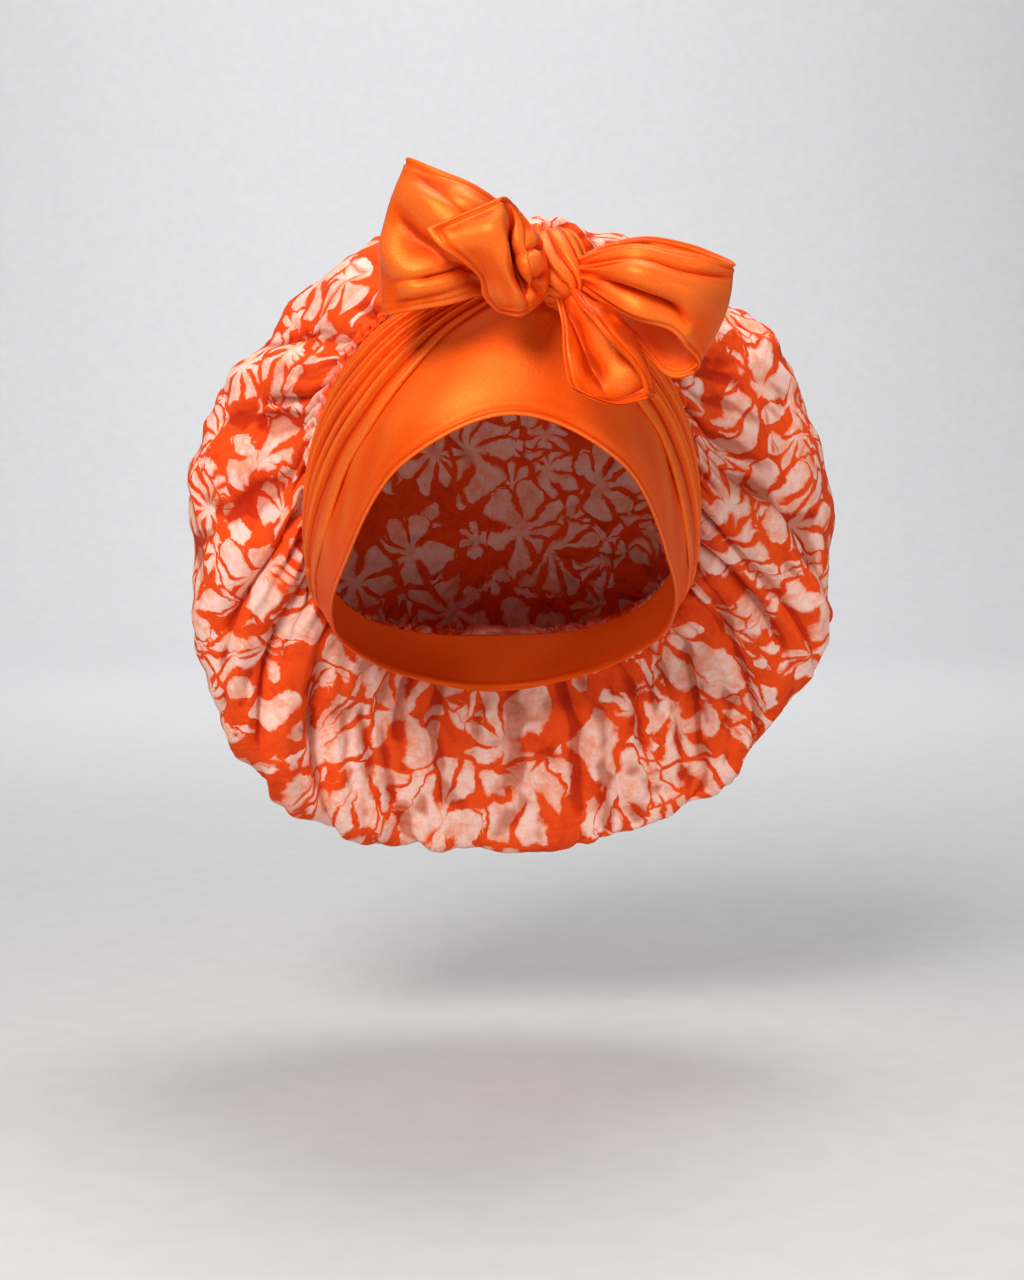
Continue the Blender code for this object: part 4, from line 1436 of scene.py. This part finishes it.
@dataclass
class Studio:
    """A pale floor that sweeps up into a pale wall, soft lights and the camera at the photograph's angle."""

    camera_place: Place = (-0.0588, -1.0940, 0.04187)
    camera_target: Place = (0.004275, 0.0, -0.054)
    lens: float = 68.75
    picture_side: float = 36.0
    floor_height: float = -0.27
    floor_front: float = -6.0
    half_width: float = 6.0
    wall_depth: float = 3.4
    wall_height: float = 4.5
    sweep: float = 1.2
    paper: tuple[Colour, Colour] = ((0.60, 0.60, 0.61, 1.0), (0.62, 0.62, 0.63, 1.0))
    surround: Colour = (0.93, 0.94, 0.96, 1.0)
    surround_strength: float = 0.26
    lamps: tuple[Lamp, ...] = (
        Lamp("key light", (-0.55, -1.20, 0.95), (0, 0, 0), 0.60, 26.0, (1.0, 0.97, 0.94)),
        Lamp("fill light", (1.10, -0.95, 0.20), (0, 0, 0), 0.8, 4.0, (0.97, 0.98, 1.0)),
        Lamp("top light", (0.15, 0.20, 1.20), (0, 0, 0), 0.6, 8.0, (1.0, 0.99, 0.97)),
        Lamp("wall light", (0.0, 1.6, 1.6), (0, 3.4, 0.2), 1.6, 42.0, (1.0, 1.0, 1.0)),
    )

    def build(self) -> None:
        """Makes the floor, the world, the lights and the camera."""
        self.floor()
        self.world()
        for lamp in self.lamps:
            lamp.build()
        self.camera()

    def floor(self) -> None:
        """A plain floor, a quarter circle and a wall, as one profile carried across, with a faint mottling."""
        book = NodeBook("pale paper")
        tone = book.noise(book.read(book.add("TexCoord"), "Object", True), 60.0, 3.0)
        paper = book.finish(Base_Color=book.mix(book.ramp(tone, 0.3, 0.7), *self.paper), Roughness=0.9)
        bend = np.linspace(0, np.pi / 2, 25)
        curve = self.wall_depth - self.sweep + self.sweep * np.sin(bend)
        depth = np.concatenate([[self.floor_front, 0.0], curve, [self.wall_depth]])
        rise = np.concatenate([[0.0, 0.0], self.sweep * (1 - np.cos(bend)), [self.wall_height]])
        across = np.linspace(-self.half_width, self.half_width, 5)
        grid = np.broadcast_arrays(across[None], depth[:, None], (self.floor_height + rise)[:, None])
        grid = np.stack(grid, -1)[::-1]
        faces, marks = grid_corners(*grid.shape[:2], False)
        points = grid.reshape(-1, 3)
        mesh_from("pale_floor", points, [faces[:, ::-1]], [points[marks][:, ::-1, :2]], paper)

    def world(self) -> None:
        """An even pale surround, shown without a film look."""
        world = bpy.data.worlds.new("pale surround")
        world.use_nodes = True
        inputs = world.node_tree.nodes["Background"].inputs
        inputs["Color"].default_value = self.surround
        inputs["Strength"].default_value = self.surround_strength
        bpy.context.scene.world = world
        bpy.context.scene.view_settings.view_transform = "Standard"

    def camera(self) -> None:
        """The camera at the photograph's place, with its field of view on the picture's long side."""
        lens = bpy.data.cameras.new("camera")
        lens.lens, lens.sensor_width, lens.sensor_height = self.lens, self.picture_side, self.picture_side
        lens.clip_start, lens.clip_end = 0.05, 50.0
        aimed("camera", lens, self.camera_place, self.camera_target)
        bpy.context.scene.camera = bpy.data.objects["camera"]


# ---------------------------------------------------------------- the tables of the tie


# turn from the top in degrees, share of the way from hem to seam at the inner edge, greatest height
WRAP_LEFT: Rows = (
    (-6, 0.72, 0.0050), (0, 0.70, 0.0040), (12, 0.61, 0.0030), (24, 0.43, 0.0034), (36, 0.31, 0.0038),
    (48, 0.29, 0.0036), (66, 0.24, 0.0030), (84, 0.28, 0.0024), (102, 0.42, 0.0018), (132, 0.66, 0.0014),
)
WRAP_RIGHT: Rows = (
    (12, 0.68, 0.0050), (18, 0.60, 0.0040), (30, 0.38, 0.0034), (42, 0.35, 0.0038), (54, 0.30, 0.0036),
    (66, 0.24, 0.0030), (84, 0.28, 0.0024), (102, 0.42, 0.0018), (132, 0.66, 0.0014),
)
# a loop's sections, from the knot round the end and back: top edge x, y and z, low edge x, y and z, belly x and y
LOOP_LEFT: Rows = (
    (0.013, -0.075, 0.114, 0.013, -0.076, 0.100, 0.000, 0.000),
    (-0.001, -0.083, 0.129, -0.006, -0.084, 0.096, 0.001, -0.007),
    (-0.015, -0.091, 0.139, -0.020, -0.092, 0.092, 0.001, -0.014),
    (-0.029, -0.090, 0.145, -0.038, -0.093, 0.089, 0.000, -0.012),
    (-0.040, -0.085, 0.150, -0.050, -0.088, 0.087, -0.003, -0.006),
    (-0.043, -0.080, 0.151, -0.054, -0.082, 0.087, -0.005, 0.002),
    (-0.037, -0.074, 0.149, -0.048, -0.076, 0.088, -0.003, 0.007),
    (-0.026, -0.070, 0.144, -0.034, -0.071, 0.092, 0.000, 0.007),
    (-0.013, -0.068, 0.137, -0.018, -0.069, 0.096, 0.000, 0.005),
    (0.000, -0.068, 0.127, -0.003, -0.069, 0.099, 0.000, 0.003),
    (0.013, -0.071, 0.114, 0.013, -0.071, 0.101, 0.000, 0.000),
)
LOOP_RIGHT: Rows = (
    (0.027, -0.079, 0.111, 0.027, -0.080, 0.099, 0.000, -0.003),
    (0.038, -0.087, 0.114, 0.037, -0.089, 0.092, 0.000, -0.009),
    (0.051, -0.092, 0.114, 0.051, -0.096, 0.086, 0.000, -0.011),
    (0.067, -0.092, 0.111, 0.064, -0.097, 0.081, 0.001, -0.010),
    (0.083, -0.087, 0.109, 0.070, -0.093, 0.074, 0.002, -0.006),
    (0.092, -0.080, 0.109, 0.076, -0.089, 0.067, 0.003, 0.001),
    (0.086, -0.074, 0.113, 0.072, -0.087, 0.0625, 0.002, 0.006),
    (0.074, -0.069, 0.118, 0.064, -0.086, 0.0625, 0.000, 0.008),
    (0.057, -0.066, 0.121, 0.055, -0.083, 0.0710, 0.000, 0.007),
    (0.041, -0.066, 0.118, 0.041, -0.077, 0.0865, 0.000, 0.004),
    (0.027, -0.072, 0.112, 0.027, -0.073, 0.100, 0.000, 0.000),
)
# an end's sections, each as the x, y and z of its points across
TAIL_LEFT: Rows = (
    (-0.037, -0.110, 0.120, -0.010, -0.113, 0.131, -0.006, -0.110, 0.133, -0.003, -0.105, 0.132, 0.003, -0.094, 0.126),
    (-0.031, -0.113, 0.113, -0.008, -0.118, 0.123, -0.003, -0.105, 0.123, 0.003, -0.105, 0.123, 0.0105, -0.0910, 0.119),
    (-0.022, -0.111, 0.107, -0.006, -0.119, 0.114, -0.003, -0.103, 0.113, 0.004, -0.110, 0.113, 0.0125, -0.0890, 0.113),
    (-0.015, -0.106, 0.101, -0.005, -0.118, 0.104, -0.001, -0.103, 0.104, 0.006, -0.111, 0.104, 0.0140, -0.0895, 0.106),
    (-0.013, -0.100, 0.094, -0.001, -0.113, 0.093, 0.004, -0.108, 0.093, 0.010, -0.100, 0.096, 0.0145, -0.0860, 0.101),
    (-0.007, -0.097, 0.088, 0.000, -0.104, 0.086, 0.004, -0.104, 0.087, 0.009, -0.098, 0.091, 0.0140, -0.0885, 0.096),
)
TAIL_RIGHT: Rows = (
    (0.0165, -0.080, 0.098, 0.0205, -0.0785, 0.0990, 0.0245, -0.080, 0.1000, 0.0225, -0.0845, 0.0990),
    (0.0180, -0.091, 0.089, 0.0240, -0.0880, 0.0900, 0.0305, -0.091, 0.0920, 0.0265, -0.0965, 0.0905),
    (0.0190, -0.096, 0.082, 0.0275, -0.0920, 0.0830, 0.0380, -0.097, 0.0880, 0.0305, -0.1035, 0.0850),
    (0.0190, -0.100, 0.073, 0.0310, -0.0960, 0.0730, 0.0450, -0.101, 0.0790, 0.0375, -0.1075, 0.0760),
    (0.0200, -0.102, 0.064, 0.0350, -0.0990, 0.0630, 0.0505, -0.102, 0.0690, 0.0460, -0.1075, 0.0675),
    (0.0220, -0.103, 0.058, 0.0380, -0.1010, 0.0550, 0.0535, -0.102, 0.0610, 0.0505, -0.1068, 0.0610),
    (0.0290, -0.104, 0.054, 0.0415, -0.1030, 0.0505, 0.0550, -0.103, 0.0535, 0.0525, -0.1072, 0.0545),
)
FOLDS_LOOP_LEFT = (
    Fold((0.12, 0.02), (0.43, 0.66), -0.0070, 0.12, 1.7, 0.30),
    Fold((0.14, 0.40), (0.33, 0.52), -0.0042, 0.08, 1.7, 0.35),
    Fold((0.30, 0.08), (0.47, 0.52), 0.0030, 0.10, 2.0, 0.30),
    Fold((0.06, 0.17), (0.40, 0.22), -0.0038, 0.035, 1.2, 0.30),
    Fold((0.10, 0.60), (0.38, 0.92), -0.0030, 0.08, 1.6, 0.35),
    Fold((0.10, 0.80), (0.42, 0.78), 0.0022, 0.09, 2.0, 0.35),
    Fold((0.03, 0.08), (0.40, 0.07), -0.0020, 0.030, 1.2, 0.25),
    Fold((0.60, 0.50), (0.98, 0.50), -0.0030, 0.12, 1.6, 0.35),
    Fold((0.62, 0.75), (0.95, 0.62), 0.0020, 0.08, 1.6, 0.35),
)
FOLDS_LOOP_RIGHT = (
    Fold((0.03, 0.78), (0.46, 0.86), -0.0026, 0.035, 1.2, 0.25),
    Fold((0.08, 0.94), (0.44, 0.96), 0.0020, 0.07, 2.0, 0.30),
    Fold((0.06, 0.36), (0.34, 0.17), -0.0070, 0.10, 1.7, 0.30),
    Fold((0.06, 0.62), (0.44, 0.54), 0.0034, 0.20, 2.0, 0.35),
    Fold((0.12, 0.08), (0.42, 0.08), 0.0026, 0.09, 2.0, 0.30),
    Fold((0.02, 0.62), (0.16, 0.68), -0.0018, 0.030, 1.3, 0.40),
    Fold((0.60, 0.50), (0.98, 0.50), -0.0030, 0.12, 1.6, 0.35),
)
FOLDS_TAIL_LEFT = (
    Fold((0.05, 0.10), (0.45, 0.75), 0.0016, 0.10, 2.0, 0.30),
    Fold((0.50, 0.30), (0.56, 0.95), -0.0026, 0.05, 1.3, 0.30),
    Fold((0.66, 0.10), (0.62, 0.80), 0.0022, 0.05, 1.8, 0.30),
    Fold((0.76, 0.10), (0.74, 0.85), -0.0022, 0.04, 1.3, 0.30),
    Fold((0.86, 0.05), (0.84, 0.90), 0.0018, 0.04, 1.8, 0.30),
    Fold((0.60, 0.47), (0.98, 0.36), -0.0030, 0.040, 1.3, 0.30),
    Fold((0.58, 0.74), (0.98, 0.66), -0.0034, 0.045, 1.3, 0.30),
)
FOLDS_TAIL_RIGHT = (
    Fold((0.22, 0.03), (0.30, 0.78), -0.0022, 0.06, 1.3, 0.25),
    Fold((0.48, 0.10), (0.44, 0.95), 0.0024, 0.12, 2.0, 0.30),
    Fold((0.62, 0.05), (0.66, 0.65), -0.0016, 0.05, 1.4, 0.30),
    Fold((0.30, 0.92), (0.80, 0.86), -0.0012, 0.05, 1.5, 0.30),
)


def main() -> None:
    """Builds the bonnet's pieces in order, dresses them and sets up the studio."""
    logging.basicConfig(level=logging.INFO, format="%(name)s: %(message)s")
    satin, batik = Satin().material(), Batik().material()
    opening = Opening()
    jobs = (
        (Band(opening), satin),
        (Crown(opening), batik),
        (Knot(), satin),
        (Frill(), satin),
        (Wrap(opening, Side.LEFT, WRAP_LEFT), satin),
        (Wrap(opening, Side.RIGHT, WRAP_RIGHT), satin),
        (Loop(Side.LEFT, LOOP_LEFT, FOLDS_LOOP_LEFT), satin),
        (Loop(Side.RIGHT, LOOP_RIGHT, FOLDS_LOOP_RIGHT), satin),
        (Tail(Side.LEFT, TAIL_LEFT, FOLDS_TAIL_LEFT, hemmed=(True, False, True, True)), satin),
        (Tail(Side.RIGHT, TAIL_RIGHT, FOLDS_TAIL_RIGHT, hemmed=(True, True, False, True)), satin),
    )
    for job, material in jobs:
        made = job.build(material)
        log.info("%s: %d points", made.name, len(made.data.vertices))
    Studio().build()


if __name__ == "__main__":
    main()
